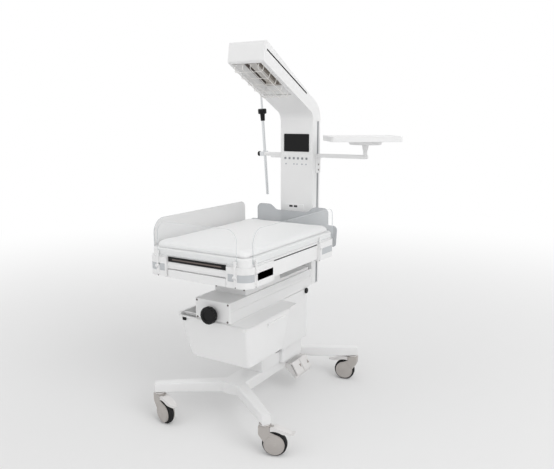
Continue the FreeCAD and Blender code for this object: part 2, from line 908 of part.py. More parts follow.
def storage_bin():
    """Tapered tub with a rim, two cross bars, a finger ledge on each side and rubber corner bumpers."""
    tub = bin_shell(0, bin_floor, bin_top)
    wide, tight = bin_left_corner + bin_rim_width, bin_right_corner + bin_rim_width
    rim = slab([(bin_left, bin_rim_front, wide), (bin_right, bin_rim_front, tight),
                (bin_right, bin_rim_rear, tight), (bin_left, bin_rim_rear, wide)],
               "z", bin_top - bin_rim_thickness, bin_top)
    floor_edges = [e for e in tub.Edges if e.BoundBox.ZMax < bin_floor + 0.01]
    tub = tub.makeChamfer(5, floor_edges).fuse(rim)
    grip = bin_floor + bin_grip_height
    left_wall, right_wall = bin_walls(grip)
    for near, far in ((left_wall - 9, left_wall + 2), (right_wall - 2, right_wall + 9)):
        tub = tub.fuse(box(near, far, bin_grip_front, bin_grip_rear, grip - 6, grip + 6))
    inside = bin_shell(bin_wall, bin_floor + bin_wall, bin_top + 0.01)
    inside_edges = [e for e in inside.Edges if e.BoundBox.ZMax < bin_floor + bin_wall + 0.01]
    tub = tub.cut(inside.makeChamfer(4, inside_edges))
    left_bar, right_bar = bin_walls(bar_low)
    for y in (bin_bar_front, bin_bar_rear):
        bar = box(left_bar + bin_wall - 0.5, right_bar - bin_wall + 0.5, y - bin_bar_width / 2,
                  y + bin_bar_width / 2, bar_low, bar_low + bin_bar_height)
        tub = tub.fuse(bar)
    bumpers = []
    under = bin_top - bin_rim_thickness - bin_bumper
    for x in (bin_latch_x, bin_right - bin_rim_width - bin_bumper):
        front = box(x - bin_bumper / 2, x + bin_bumper / 2, bin_rim_front + 1,
                    bin_rim_front + bin_rim_width - seat_gap, under, under + bin_bumper)
        rear = box(x - bin_bumper / 2, x + bin_bumper / 2, bin_rim_rear - bin_rim_width + seat_gap,
                   bin_rim_rear - 1, under, under + bin_bumper)
        bumpers += [front, rear]
    return Part.makeCompound([tub.removeSplitter()] + bumpers)


def bin_runners():
    """Fixed cover over the right part of the bin, and two hangers, each round one cross bar of the bin."""
    cover = slab([(-beam_half, bin_rim_front + 2, 0), (bin_right - 2, bin_rim_front + 2, bin_right_corner),
                  (bin_right - 2, bin_cover_rear, bin_right_corner), (-beam_half, bin_cover_rear, 0)],
                 "z", beam_bottom - bin_cover_thickness, beam_bottom)
    hangers = []
    for y in (bin_bar_front, bin_bar_rear):
        half = bin_bar_width / 2 + hanger_gap
        low = bar_low - hanger_gap
        high = bar_low + bin_bar_height + hanger_gap
        hanger = box(-runner_half, runner_half, y - half - runner_wall, y + half + runner_wall,
                     low - runner_wall, beam_bottom)
        hangers.append(hanger.cut(box(-runner_half - 1, runner_half + 1, y - half, y + half, low, high)))
    return cover.fuse(hangers).removeSplitter()


# Bed

def bed_frame():
    """Moulded deck with the mattress well, the film tray slot, tilt lugs and head panel channels."""
    body = block(-bed_half, bed_half, bed_front, bed_rear, bed_bottom, bed_top, bed_corner)
    rim_edges = [e for e in body.Edges if e.BoundBox.ZMin > bed_top - 0.01]
    body = body.makeChamfer(4, rim_edges)
    gap = 3
    well = block(-mattress_half - gap, mattress_half + gap, mattress_front - gap, mattress_rear + gap,
                 deck_height, bed_top + 1, mattress_round + gap)
    slot = box(-slot_half, slot_half, bed_front - 1, bed_front + slot_depth, slot_low, slot_high)
    step = box(-slot_half, slot_half, bed_front - 1, bed_front + foot_step, bed_bottom - 1, foot_step_top)
    side = bed_half - bed_wall
    ceiling = slot_low - bed_wall
    inner_rear_wall = bed_rear - bed_wall
    inner_front_wall = bed_front + foot_step + bed_wall
    hollow = box(-side, side, inner_front_wall, inner_rear_wall, bed_bottom - 1, ceiling)
    hollow = hollow.cut(bed_corner_fill(side, inner_rear_wall))
    upper = deck_height - bed_wall
    pockets = []
    for sign in (-1, 1):
        near, far = sorted((sign * (slot_half + bed_wall), sign * side))
        pockets.append(box(near, far, inner_front_wall, inner_rear_wall - bed_corner, ceiling - 1, upper))
    pockets.append(box(-slot_half, slot_half, bed_front + slot_depth + bed_wall, inner_rear_wall,
                       ceiling - 1, upper))
    body = body.cut([well, slot, step, hollow] + pockets)
    for sign in (-1, 1):
        near, far = sorted((sign * (bed_half - side_slot_depth), sign * (bed_half + 1)))
        body = body.cut(box(near, far, side_slot_front, side_slot_rear, side_slot_low, side_slot_high))
    return body.fuse(tilt_lugs(ceiling) + head_channels()).removeSplitter()


def bed_corner_fill(side, rear):
    """Solid corners left in the hollow where the rounded rear corners of the deck pass."""
    fills = []
    for sign in (-1, 1):
        near, far = sorted((sign * (side - bed_corner / 2), sign * (side + 1)))
        fills.append(box(near, far, rear - bed_corner / 2, rear + 1, bed_bottom - 2, bed_top))
    return fills


def tilt_lugs(ceiling):
    """Two lugs under the deck on the tilt shaft."""
    outside = neck_half - pylon_wall - seat_gap
    pieces = []
    for sign in (-1, 1):
        near, far = sorted((sign * outside, sign * (outside - lug_thickness)))
        plate = slab([(pivot_y - lug_radius, pivot_z, 0), (pivot_y + lug_radius, pivot_z, 0),
                      (pivot_y + lug_half, bed_bottom, 8), (pivot_y + lug_half, ceiling + 1, 0),
                      (pivot_y - lug_half, ceiling + 1, 0), (pivot_y - lug_half, bed_bottom, 8)],
                     "x", near, far)
        eye = rod(lug_radius, (near, pivot_y, pivot_z), (far, pivot_y, pivot_z))
        pieces += [plate, eye]
    pieces.append(rod(tilt_shaft_radius, (-neck_half, pivot_y, pivot_z), (neck_half, pivot_y, pivot_z)))
    return pieces


def head_channels():
    """Upright channels behind the deck that hold the head panel."""
    panel_rear = head_panel_y + head_panel_thickness
    pieces = []
    for sign in (-1, 1):
        near, far = sorted((sign * channel_in, sign * channel_out))
        channel = box(near, far, bed_rear - 2, panel_rear + 7, head_panel_low - 8, channel_top)
        groove = box(near - 1, far + 1, head_panel_y - seat_gap, panel_rear + seat_gap,
                     head_panel_low - seat_gap, channel_top + 1)
        pieces.append(channel.cut(groove))
    return pieces


def mattress():
    """Foam pad with a narrower part in the well and a soft upper part that laps over the rim."""
    low = bed_top + seat_gap
    stem = block(-mattress_half, mattress_half, mattress_front, mattress_rear, deck_height, low + 1,
                 2 * mattress_round)
    pad = block(-mattress_half - mattress_lap, mattress_half + mattress_lap, mattress_front - mattress_lap_end,
                mattress_rear + mattress_lap_rear, low, mattress_top, 3 * mattress_round)
    top_edges = [e for e in pad.Edges if e.BoundBox.ZMin > mattress_top - 0.01]
    low_edges = [e for e in pad.Edges if e.BoundBox.ZMax < low + 0.01]
    pad = pad.makeFillet(mattress_round, top_edges).makeFillet(mattress_round / 2, low_edges)
    return pad.fuse(stem).removeSplitter()


def xray_tray():
    """Shallow pan that slides out of the foot end."""
    low = slot_low + seat_gap
    high = slot_high - 2
    half = slot_half - 2
    pan = box(-half, half, bed_front, bed_front + tray_length, low, high)
    inside = box(-half + tray_wall, half - tray_wall, bed_front + 2 * tray_wall,
                 bed_front + tray_length - tray_wall, low + tray_wall, high + 1)
    pan = pan.cut(inside)
    scoop = box(-tray_scoop_half, tray_scoop_half, bed_front - 1, bed_front + 4, low + 6, low + 14)
    return pan.cut(scoop)


def foot_rail():
    """Grip rail across the foot end on two posts."""
    front = bed_front - rail_forward
    back = front + rail_thickness
    bar = slab(rectangle(-rail_half, rail_half, rail_low, rail_high, 6), "y", front, back)
    posts = []
    for x in (-rail_half * 0.68, rail_half * 0.68):
        posts.append(box(x - rail_post, x + rail_post, back - 1, bed_front + foot_step, bed_bottom + 3,
                         bed_bottom + 3 + rail_post))
    return bar.fuse(posts).removeSplitter()


# Corner blocks

def bed_ring(inner, outer, low, high):
    """Ring round the deck between two distances outside its walls."""
    outside = block(-bed_half - outer, bed_half + outer, bed_front - outer, bed_rear + outer,
                    low, high, bed_corner + outer)
    inside = block(-bed_half - inner, bed_half + inner, bed_front - inner, bed_rear + inner,
                   low - 1, high + 1, bed_corner + inner)
    return outside.cut(inside)


front_block_end = bed_front + block_front_length


def front_region(low, high, margin):
    return box(block_front_reach + margin, bed_half + 60, bed_front - 60, front_block_end - margin, low, high)


def rear_region(low, high, margin):
    return box(block_rear_reach + margin, bed_half + 60, block_rear_start + margin, bed_rear + 60, low, high)


class Hinge:
    """One panel hinge: where its strap stands, on which face, how high, and how far the panel lies behind it."""

    def __init__(self, centre, turn, height, panel_back):
        self.centre = centre
        self.turn = turn
        self.height = height
        self.panel_back = panel_back

    def place(self, shape):
        return moved(turned(shape, (0, 0, 0), (0, 0, 1), self.turn), self.centre[0], self.centre[1], 0)

    def ears(self):
        """Two ears with a pin, and the bow that stands off the block below them."""
        out = -hinge_standoff
        z = self.height
        pieces = []
        for sign in (-1, 1):
            near, far = sorted((sign * (hinge_half + 0.5), sign * (hinge_half + 4.5)))
            ear = slab([(1, z - 8, 0), (1, z + 8, 0), (out - 5, z + 5, 4), (out - 5, z - 5, 4)], "x", near, far)
            pieces.append(ear)
        reach = hinge_half + 4.5
        pin = rod(hinge_pin_radius, (-reach, out, z), (reach, out, z))
        low, high = block_low + bow_margin, z - hinge_standoff - 1
        bow = slab([(1, low, 0), (-bow_proud, low + 4, 4), (-bow_proud, high - 1, 3), (1, high, 0)],
                   "x", -bow_half, bow_half)
        return self.place(pieces[0].fuse([pieces[1], pin, bow]))

    def pad(self, margin):
        """Upright bar of the block behind the ears, where the recessed strip is interrupted."""
        half = hinge_half + 5 + margin
        return self.place(box(-half, half, -1, block_thickness, strip_low - 1, strip_high + 1))

    def strap(self, panel_low):
        """Flat strap from the pin up over the block to a grip on the lower edge of the panel."""
        z = self.height
        back, front = -strap_gap, -strap_gap - strap_thickness
        grip_low = panel_low
        top = panel_low + strap_grip
        plate = slab([(front, z, 0), (back, z, 0), (back, grip_low, 0),
                      (self.panel_back, grip_low, 0), (self.panel_back, top, 0), (front, top, 4)],
                     "x", -hinge_half, hinge_half)
        barrel = rod(hinge_standoff - strap_gap, (-hinge_half, -hinge_standoff, z),
                     (hinge_half, -hinge_standoff, z))
        bore = rod(hinge_pin_radius + running_gap, (-hinge_half - 1, -hinge_standoff, z),
                   (hinge_half + 1, -hinge_standoff, z))
        return self.place(plate.fuse(barrel).cut(bore))


def hinge_mount(which, sign=1):
    face_front = bed_front - block_thickness
    face_side = bed_half + block_thickness
    foot_back = foot_panel_y - face_front
    side_back = face_side - (side_panel_x + panel_thickness)
    if which == "foot":
        return Hinge((sign * foot_strap_x, face_front), 0, hinge_height - foot_hinge_drop, foot_back)
    y = side_strap_front if which == "side_front" else side_strap_rear
    return Hinge((face_side, y), 90, hinge_height, side_back)


foot_panel_y = bed_front - 1 - panel_thickness
side_panel_x = bed_half + 2


def corner_blocks():
    """Four bumpers round the corners of the deck, each with a recessed strip, and their panel hinges."""
    right = []
    for region in (front_region, rear_region):
        body = bed_ring(seat_gap, block_thickness, block_low, block_high)
        foot = bed_ring(-block_foot, seat_gap + 0.1, block_low, bed_bottom - seat_gap)
        body = body.fuse(foot).common(region(block_low - 5, block_high + 5, 0))
        recess = bed_ring(block_thickness - strip_depth, block_thickness + 5, strip_low, strip_high)
        strip = bed_ring(block_thickness - strip_depth, block_thickness - 0.6, strip_low, strip_high)
        if region is front_region:
            hinges = [hinge_mount("foot"), hinge_mount("side_front")]
            reach = region(strip_low, strip_high, strip_margin)
        else:
            hinges = [hinge_mount("side_rear")]
            reach = box(block_rear_reach, bed_half + 60, strip_rear_start, strip_rear_end, strip_low, strip_high)
        body = body.cut(recess.common(reach).cut([hinge.pad(0) for hinge in hinges]))
        strip = strip.common(reach).cut([hinge.pad(seat_gap) for hinge in hinges])
        body = body.fuse([hinge.ears() for hinge in hinges])
        right += [body.removeSplitter()] + strip.Solids
    return Part.makeCompound(right + [mirrored(s) for s in right])


# Panels

def foot_panel():
    corners = [(-foot_panel_half, foot_panel_low, 8), (foot_panel_half, foot_panel_low, 8),
               (foot_panel_half, panel_top, foot_panel_corner), (-foot_panel_half, panel_top, foot_panel_corner)]
    sheet = slab(corners, "y", foot_panel_y, foot_panel_y + panel_thickness)
    straps = [hinge_mount("foot", sign).strap(foot_panel_low) for sign in (-1, 1)]
    return Part.makeCompound([sheet] + straps)


def side_panel():
    """Right side panel with its two hinge straps."""
    corners = [(side_panel_front, side_panel_low, 8), (side_panel_rear, side_panel_low, 8),
               (side_panel_rear, panel_top, side_panel_rear_corner),
               (side_panel_front, panel_top, side_panel_front_corner)]
    sheet = slab(corners, "x", side_panel_x, side_panel_x + panel_thickness)
    straps = [hinge_mount(which).strap(side_panel_low) for which in ("side_front", "side_rear")]
    return Part.makeCompound([sheet] + straps)


def head_panel():
    """Translucent panel with raised shoulders and a round ear low on each side."""
    half = [
        (head_panel_ear_half - 8, head_panel_low, 20),
        (head_panel_ear_half, head_panel_ear_top, 26),
        (head_panel_half, head_panel_ear_top, 6),
        (head_panel_half, head_panel_top, 30),
        (head_panel_half - head_panel_lobe, head_panel_top, 40),
        (head_panel_half - head_panel_lobe - 40, head_panel_mid, 40),
    ]
    mirror_half = [(-u, v, r) for u, v, r in reversed(half)]
    return slab(half + mirror_half, "y", head_panel_y, head_panel_y + head_panel_thickness)


# Column and head

def column():
    shell = box(-column_half, column_half, column_front, column_rear, column_bottom, column_top)
    uprights = [e for e in shell.Edges if is_upright(e)]
    shell = shell.makeFillet(column_round, uprights)
    inside = box(-column_half + column_wall, column_half - column_wall, column_front + column_wall,
                 column_rear - column_wall, column_bottom + column_wall, column_top + 1)
    shell = shell.cut(inside)
    cuts = []
    for sign in (-1, 1):
        near, far = sorted((sign * (column_half - column_wall - 1), sign * (column_half + 1)))
        cuts.append(box(near, far, rail_slot_front, rail_slot_rear, rail_slot_low, rail_slot_high))
    key_half = key_side / 2 + key_clearance
    for x in key_places():
        cuts.append(box(x - key_half, x + key_half, column_front - 1, column_front + column_wall + 1,
                        key_height - key_half, key_height + key_half))
    for x in lamp_places:
        cuts.append(rod(lamp_radius + seat_gap, (x, column_front - 1, lamp_height),
                        (x, column_front + column_wall + 1, lamp_height)))
    return shell.cut(cuts)


def key_places():
    return [key_first + key_pitch * i for i in range(key_count)]


def side_rails():
    """Two C rails in the sides of the column, for accessories."""
    rails = []
    middle = (rail_slot_front + rail_slot_rear) / 2
    for sign in (-1, 1):
        near, far = sorted((sign * (column_half - side_rail_depth), sign * column_half))
        rail = box(near, far, rail_slot_front, rail_slot_rear, rail_slot_low, rail_slot_high)
        near, far = sorted((sign * (column_half - side_rail_depth + side_rail_wall),
                            sign * (column_half - side_rail_wall)))
        channel = box(near, far, rail_slot_front + side_rail_wall, rail_slot_rear - side_rail_wall,
                      rail_slot_low - 1, rail_slot_high + 1)
        near, far = sorted((sign * (column_half - side_rail_depth + side_rail_wall), sign * (column_half + 1)))
        mouth = box(near, far, middle - side_rail_mouth / 2, middle + side_rail_mouth / 2,
                    rail_slot_low - 1, rail_slot_high + 1)
        rails.append(rail.cut([channel, mouth]))
    return Part.makeCompound(rails)


def head_outline(inset):
    """Side view of the head and its bend; inset moves every side inwards."""
    rise = math.tan(math.radians(head_slope))
    fall = math.tan(math.radians(head_top_slope))
    top_shift = inset / math.cos(math.radians(head_top_slope))
    low_shift = inset / math.cos(math.radians(head_slope))
    front_top = fascia_top_y + inset
    front_low = fascia_bottom_y + inset
    rear, front = column_rear - inset, column_front + inset
    top_z = fascia_top_z - top_shift - inset * fall
    corner_z = fascia_top_z - top_shift - (rear - fascia_top_y) * fall
    low_z = fascia_bottom_z + low_shift - inset * rise
    inner_z = fascia_bottom_z + low_shift - (front - fascia_bottom_y) * rise
    return [
        (front_top, top_z, 12 - inset),
        (rear, corner_z, head_outer_round - inset),
        (rear, column_top, 0),
        (front, column_top, 0),
        (front, inner_z, head_inner_round + inset),
        (front_low, low_z, 14 - inset),
    ]


def in_head(shape):
    """Move a shape from the plane of the heater mouth to its place in the head.
    In that plane Y runs back along the slope, Z is up into the head and the origin is the front edge."""
    rise = math.tan(math.radians(head_slope))
    mouth_front_z = fascia_bottom_z - (mouth_front_y - fascia_bottom_y) * rise
    tilted = turned(shape, (0, 0, 0), (1, 0, 0), -head_slope)
    return moved(tilted, 0, mouth_front_y, mouth_front_z)


def head_shell():
    """Heater head and its curved bend, one moulded duct with the heater mouth in its underside."""
    outside = slab(head_outline(0), "x", -column_half, column_half)
    inside = slab(head_outline(head_wall), "x", -column_half + head_wall, column_half - head_wall)
    mouth = in_head(box(-mouth_half, mouth_half, 0, mouth_length, -20, 3 * head_wall))
    shell = outside.cut([inside, mouth])
    for sign in (-1, 1):
        near, far = sorted((sign * (column_half - head_groove_depth), sign * (column_half + 1)))
        groove = box(near, far, -10, mouth_length + head_groove_run, head_groove_low,
                     head_groove_low + head_groove_width)
        shell = shell.cut(in_head(groove))
    return shell


def head_bezel():
    """Flange round the mouth and a flared funnel up to the reflector."""
    edge = bezel_flange
    flange = block(-mouth_half - edge, mouth_half + edge, -edge, mouth_length + edge, -bezel_lip, 0, 5)
    outer_low = rectangle(-mouth_half + 1, mouth_half - 1, 1, mouth_length - 1, 0)
    outer_high = rectangle(-throat_half, throat_half, throat_inset, mouth_length - throat_inset, 0)
    wall = bezel_wall
    inner_low = rectangle(-mouth_half + 1 + wall, mouth_half - 1 - wall, 1 + wall, mouth_length - 1 - wall, 0)
    inner_high = rectangle(-throat_half + wall, throat_half - wall, throat_inset + wall,
                           mouth_length - throat_inset - wall, 0)
    funnel = frustum(outer_low, outer_high, 0, throat_depth)
    hole = frustum(inner_low, inner_high, 0, throat_depth)
    mouth = block(-mouth_half + 1 + wall, mouth_half - 1 - wall, 1 + wall, mouth_length - 1 - wall,
                  -bezel_lip - 1, 0, 0.5)
    return in_head(flange.fuse(funnel).cut([hole, mouth]).removeSplitter())


def reflector():
    """Reflector above the throat, with upright sides, a rounded roof and closed ends that hold the heater."""
    start, end = throat_inset, mouth_length - throat_inset

    def tunnel(inset, floor, low, high):
        half, top = throat_half - inset, reflector_top - inset
        return slab([(-half, floor, 0), (half, floor, 0), (half, reflector_side, 10),
                     (half - reflector_round, top, 30), (reflector_round - half, top, 30),
                     (-half, reflector_side, 10)], "y", low, high)

    body = tunnel(0, throat_depth, start, end)
    hollow = tunnel(reflector_sheet, throat_depth - 1, start + reflector_sheet, end - reflector_sheet)
    hole = rod(heater_radius, (0, start - 1, heater_height), (0, end + 1, heater_height))
    return in_head(body.cut([hollow, hole]))


def heater_element():
    """Ceramic heater rod with an end cap at each end."""
    start, end = throat_inset - 8, mouth_length - throat_inset + 8
    bar = rod(heater_radius, (0, start, heater_height), (0, end, heater_height))
    front_cap = rod(heater_radius + 4, (0, start, heater_height), (0, throat_inset, heater_height))
    rear_cap = rod(heater_radius + 4, (0, mouth_length - throat_inset, heater_height), (0, end, heater_height))
    return in_head(fuse(bar, front_cap, rear_cap))


def wire_guard():
    """Basket of bent wires under the mouth; the long wires lie on the cross wires."""
    top = -bezel_lip
    reach = mouth_half - 6
    wires = []
    for i in range(guard_cross_wires):
        y = mouth_length * (i + 0.5) / guard_cross_wires
        wires.append(bent_wire([(-reach, y, top), (-reach, y, -guard_drop), (reach, y, -guard_drop),
                                (reach, y, top)], guard_bend, guard_wire_radius))
    level = -guard_drop + 2 * guard_wire_radius
    near, far = 6, mouth_length - 6
    for i in range(guard_long_wires):
        x = 2 * (reach - 14) * (i / (guard_long_wires - 1) - 0.5)
        wires.append(bent_wire([(x, near, top), (x, near, level), (x, far, level), (x, far, top)],
                               guard_bend, guard_wire_radius))
    return in_head(Part.makeCompound(wires))


# Column front

def display():
    return slab(rectangle(-display_half, display_half, display_low, display_high, 5), "y",
                column_front - display_proud, column_front)


def key(x):
    """Key cap through the column wall, kept in by a flange behind it."""
    half = key_side / 2
    cap = slab(rectangle(x - half, x + half, key_height - half, key_height + half, 2), "y",
               column_front - key_proud, column_front + column_wall + key_clearance)
    back = column_front + column_wall + key_clearance
    flange = box(x - half - 2, x + half + 2, back, back + key_flange, key_height - half - 2,
                 key_height + half + 2)
    return fuse(cap, flange)


def indicator_lamps():
    lamps = []
    for x in lamp_places:
        stem = rod(lamp_radius, (x, column_front - 1, lamp_height),
                   (x, column_front + column_wall, lamp_height))
        lamps.append(stem)
    return Part.makeCompound(lamps)


def sensor_module():
    """Low socket plate on the column with two sockets."""
    face = column_front - module_proud
    plate = slab(rectangle(module_left, module_right, module_low, module_high, 6), "y", face, column_front)
    sockets = []
    for x in socket_places:
        outline = rectangle(x - socket_half, x + socket_half, socket_height - 6, socket_height + 6, 3)
        plate = plate.cut(slab(outline, "y", face - 1, face + 3))
        sockets.append(slab(outline, "y", face - 1, face + 3))
    return Part.makeCompound([plate] + sockets)


# Shelf

def shelf_arm():
    """Bracket on the right side of the column, arm and post."""
    face = column_half
    bracket = slab(rectangle(bracket_front, bracket_rear, bracket_low, arm_high, 6), "x",
                   face, face + bracket_thickness)
    front, rear = post_y - arm_depth / 2, post_y + arm_depth / 2
    arm = slab([(face, arm_low, 0), (post_x + post_radius + 2, arm_low, 8),
                (post_x + post_radius + 2, arm_high, 8), (face, arm_high, 0)], "y", front, rear)
    gusset = slab([(face, arm_low - 34, 0), (face + bracket_thickness, arm_low - 34, 0),
                   (face + bracket_thickness + 3, arm_low - 4, 20), (face + 44, arm_low + 1, 0),
                   (face, arm_low + 1, 0)], "y", front, rear)
    post = rod(post_radius, (post_x, post_y, arm_low + 4), (post_x, post_y, post_top))
    spigot = rod(spigot_radius, (post_x, post_y, post_top), (post_x, post_y, sleeve_top - 2))
    return bracket.fuse([arm, gusset, post, spigot]).removeSplitter()


def shelf():
    """Board with a raised rim on a round boss and a tapered sleeve that turns on the post."""
    low = post_top + seat_gap
    board_low = sleeve_top + shelf_boss_height
    sleeve = Part.makeCone(post_radius + 2, sleeve_radius_top, sleeve_top - low, Vec(post_x, post_y, low))
    boss = Part.makeCone(shelf_boss_radius - 8, shelf_boss_radius, shelf_boss_height,
                         Vec(post_x, post_y, sleeve_top))
    half_length, half_width = shelf_length / 2, shelf_width / 2
    board = block(shelf_shift - half_length, shelf_shift + half_length, -half_width, half_width,
                  board_low, board_low + shelf_height, shelf_corner)
    recess = block(shelf_shift - half_length + shelf_rim, shelf_shift + half_length - shelf_rim,
                   -half_width + shelf_rim, half_width - shelf_rim,
                   board_low + shelf_height - shelf_recess, board_low + shelf_height + 1, shelf_corner - shelf_rim)
    underside = block(shelf_shift - half_length + 5, shelf_shift + half_length - 5, -half_width + 5,
                      half_width - 5, board_low - 1, board_low + shelf_height - 12, shelf_corner - 5)
    core = rod(shelf_boss_radius, (0, 0, board_low - 1), (0, 0, board_low + shelf_height - 12))
    board = board.cut([recess, underside.cut(core)])
    board = moved(turned(board, (0, 0, 0), (0, 0, 1), shelf_yaw), post_x, post_y, 0)
    bore = rod(spigot_radius + running_gap, (post_x, post_y, low - 1), (post_x, post_y, sleeve_top - 1.5))
    return board.fuse([sleeve, boss]).cut(bore).removeSplitter()


# Infusion pole

def leaned(shape):
    """Lean a shape of the pole about the axis of its arm."""
    return turned(shape, (0, pole_arm_y, pole_arm_z), (1, 0, 0), pole_lean)


def pole_arm():
    """Arm on the left of the column with a stud for the pole clamp."""
    height = pole_arm_z
    plate = slab(rectangle(pole_arm_y - 22, pole_arm_y + 46, height - 40, height + 18, 6), "x",
                 -column_half - 6, -column_half)
    thick = slab(rectangle(pole_arm_y - 15, pole_arm_y + 15, height - 20, height + 12, 6), "x",
                 arm_block_end, -column_half)
    thin = slab(rectangle(pole_arm_y - 11, pole_arm_y + 11, height - 10, height + 12, 6), "x",
                arm_end, arm_block_end)
    stud = rod(stud_radius, (pole_stud_x, pole_arm_y, height), (arm_end + 2, pole_arm_y, height))
    return plate.fuse([thick, thin, stud]).removeSplitter()


clamp_x = arm_end - seat_gap - clamp_half
pole_knob_face = clamp_x - clamp_half - seat_gap
pole_stud_x = pole_knob_face - stud_end


def pole_tube():
    """Chromed tube and the clamp block that turns on the stud of the arm."""
    low = pole_arm_z - pole_below
    high = pole_arm_z + pole_above
    tube = rod(pole_radius, (clamp_x, pole_y, low), (clamp_x, pole_y, high))
    tube = tube.cut(rod(pole_radius - pole_wall, (clamp_x, pole_y, low + 3), (clamp_x, pole_y, high + 1)))
    clamp = box(clamp_x - clamp_half, clamp_x + clamp_half, pole_arm_y - 12, pole_y + pole_radius + 6,
                pole_arm_z - 13, pole_arm_z + 13)
    clamp = clamp.cut([rod(pole_radius, (clamp_x, pole_y, low), (clamp_x, pole_y, high)),
                       rod(stud_radius + running_gap, (clamp_x - 40, pole_arm_y, pole_arm_z),
                           (clamp_x + 40, pole_arm_y, pole_arm_z))])
    return leaned(Part.makeCompound([tube, clamp]))


def pole_collar():
    """Black twist collar at the top of the tube."""
    low = pole_arm_z + pole_above - 40
    middle = low + collar_length - collar_top_length
    top = low + collar_length
    body = Part.makeCone(collar_low_radius - 2, collar_low_radius, middle - low, Vec(clamp_x, pole_y, low))
    grip = round_bar(rounded_steps(0, collar_top_length, collar_top_radius, 4),
                     (clamp_x, pole_y, middle), (0, 0, 1))
    tube_top = pole_arm_z + pole_above
    bore = rod(pole_radius + running_gap, (clamp_x, pole_y, low - 1), (clamp_x, pole_y, tube_top + seat_gap))
    rod_bore = rod(pole_rod_radius + running_gap, (clamp_x, pole_y, low), (clamp_x, pole_y, top + 1))
    return leaned(body.fuse(grip).cut([bore, rod_bore]).removeSplitter())


def pole_rod():
    """Thin rod that slides in the tube, with two hooks at its top."""
    low = pole_arm_z + pole_above - pole_rod_inside
    high = low + pole_rod_up
    stem = rod(pole_rod_radius, (clamp_x, pole_y, low), (clamp_x, pole_y, high))
    pieces = []
    for sign in (-1, 1):
        hook = bent_wire([(clamp_x, pole_y, high - 8), (clamp_x + sign * hook_reach, pole_y, high - 8),
                          (clamp_x + sign * hook_reach, pole_y, high + 18)], 12, hook_radius)
        pieces.append(hook)
    return leaned(stem.fuse(pieces).removeSplitter())


def pole_knob():
    """Round knob that clamps the pole on the stud of its arm."""
    face = pole_knob_face
    knob = round_bar(rounded_steps(0, pole_knob_length, pole_knob_radius, 3),
                     (face - pole_knob_length, pole_arm_y, pole_arm_z), (1, 0, 0))
    return knob.cut(rod(stud_radius + running_gap, (pole_stud_x - 1, pole_arm_y, pole_arm_z),
                        (face + 1, pole_arm_y, pole_arm_z)))


# Screws

def screws():
    """Button heads on the front of the beam, on the neck and on the shelf bracket."""
    heads = []
    for x, z in ((beam_half - screw_inset_side, beam_top - screw_inset_top),
                 (beam_half - screw_inset_side - 3, beam_bottom + screw_inset_low)):
        for sign in (-1, 1):
            heads.append(rod(screw_radius, (sign * x, beam_front - screw_height, z), (sign * x, beam_front, z)))
    for sign in (-1, 1):
        x = sign * (neck_half - 10)
        heads.append(rod(screw_radius, (x, neck_front - screw_height, beam_top + 30),
                         (x, neck_front, beam_top + 30)))
    face = column_half + bracket_thickness
    for z in (bracket_low + 18, bracket_low + 49):
        heads.append(rod(screw_radius, (face, post_y, z), (face + screw_height, post_y, z)))
    return Part.makeCompound(heads)


def all_parts():
    parts = {
        "base_frame": base_frame(),
        "base_plinth": base_plinth(),
        "inner_column": inner_column(),
        "lift_actuator": lift_actuator(),
        "pedal_housing": pedal_housing(),
        "pedal_raise": foot_pad(pad_spans()[1], True),
        "pedal_lower": foot_pad(pad_spans()[0], False),
        "outer_cover": outer_cover(),
        "side_knob": side_knob(),
        "beam_box": beam_box(),
        "tilt_knob": tilt_knob(),
        "tilt_spindle": tilt_spindle(),
        "neck": neck(),
        "storage_bin": storage_bin(),
        "bin_runners": bin_runners(),
        "bed_frame": bed_frame(),
        "mattress": mattress(),
        "xray_tray": xray_tray(),
        "foot_rail": foot_rail(),
        "corner_blocks": corner_blocks(),
        "foot_panel": foot_panel(),
        "right_panel": side_panel(),
        "left_panel": mirrored(side_panel()),
        "head_panel": head_panel(),
        "column": column(),
        "side_rails": side_rails(),
        "head_shell": head_shell(),
        "head_bezel": head_bezel(),
        "reflector": reflector(),
        "heater_element": heater_element(),
        "wire_guard": wire_guard(),
        "display": display(),
        "indicator_lamps": indicator_lamps(),
        "sensor_module": sensor_module(),
        "shelf_arm": shelf_arm(),
        "shelf": shelf(),
        "pole_arm": pole_arm(),
        "pole_tube": pole_tube(),
        "pole_collar": pole_collar(),
        "pole_rod": pole_rod(),
        "pole_knob": pole_knob(),
        "screws": screws(),
    }
    for number, x in enumerate(key_places(), 1):
        parts["key_%d" % number] = key(x)
    fork, wheel, pedal = castor_fork(), castor_wheel(), brake_pedal()
    for name, place in castors.items():
        parts["fork_" + name] = at_castor(fork, place)
        parts["wheel_" + name] = at_castor(wheel, place)
        parts["brake_" + name] = at_castor(pedal, place)
    return parts


os.makedirs("parts", exist_ok=True)
for name, shape in all_parts().items():
    shape.exportStep("parts/%s.step" % name)
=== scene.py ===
"""Infant radiant warmer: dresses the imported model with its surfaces, edges and small parts.

Laid out as a Blender add-on and run as a script. Everything is in metres in the model's own frame:
Z up, X to the right of someone at the foot end who looks along +Y towards the heater column.
"""
import json
import math

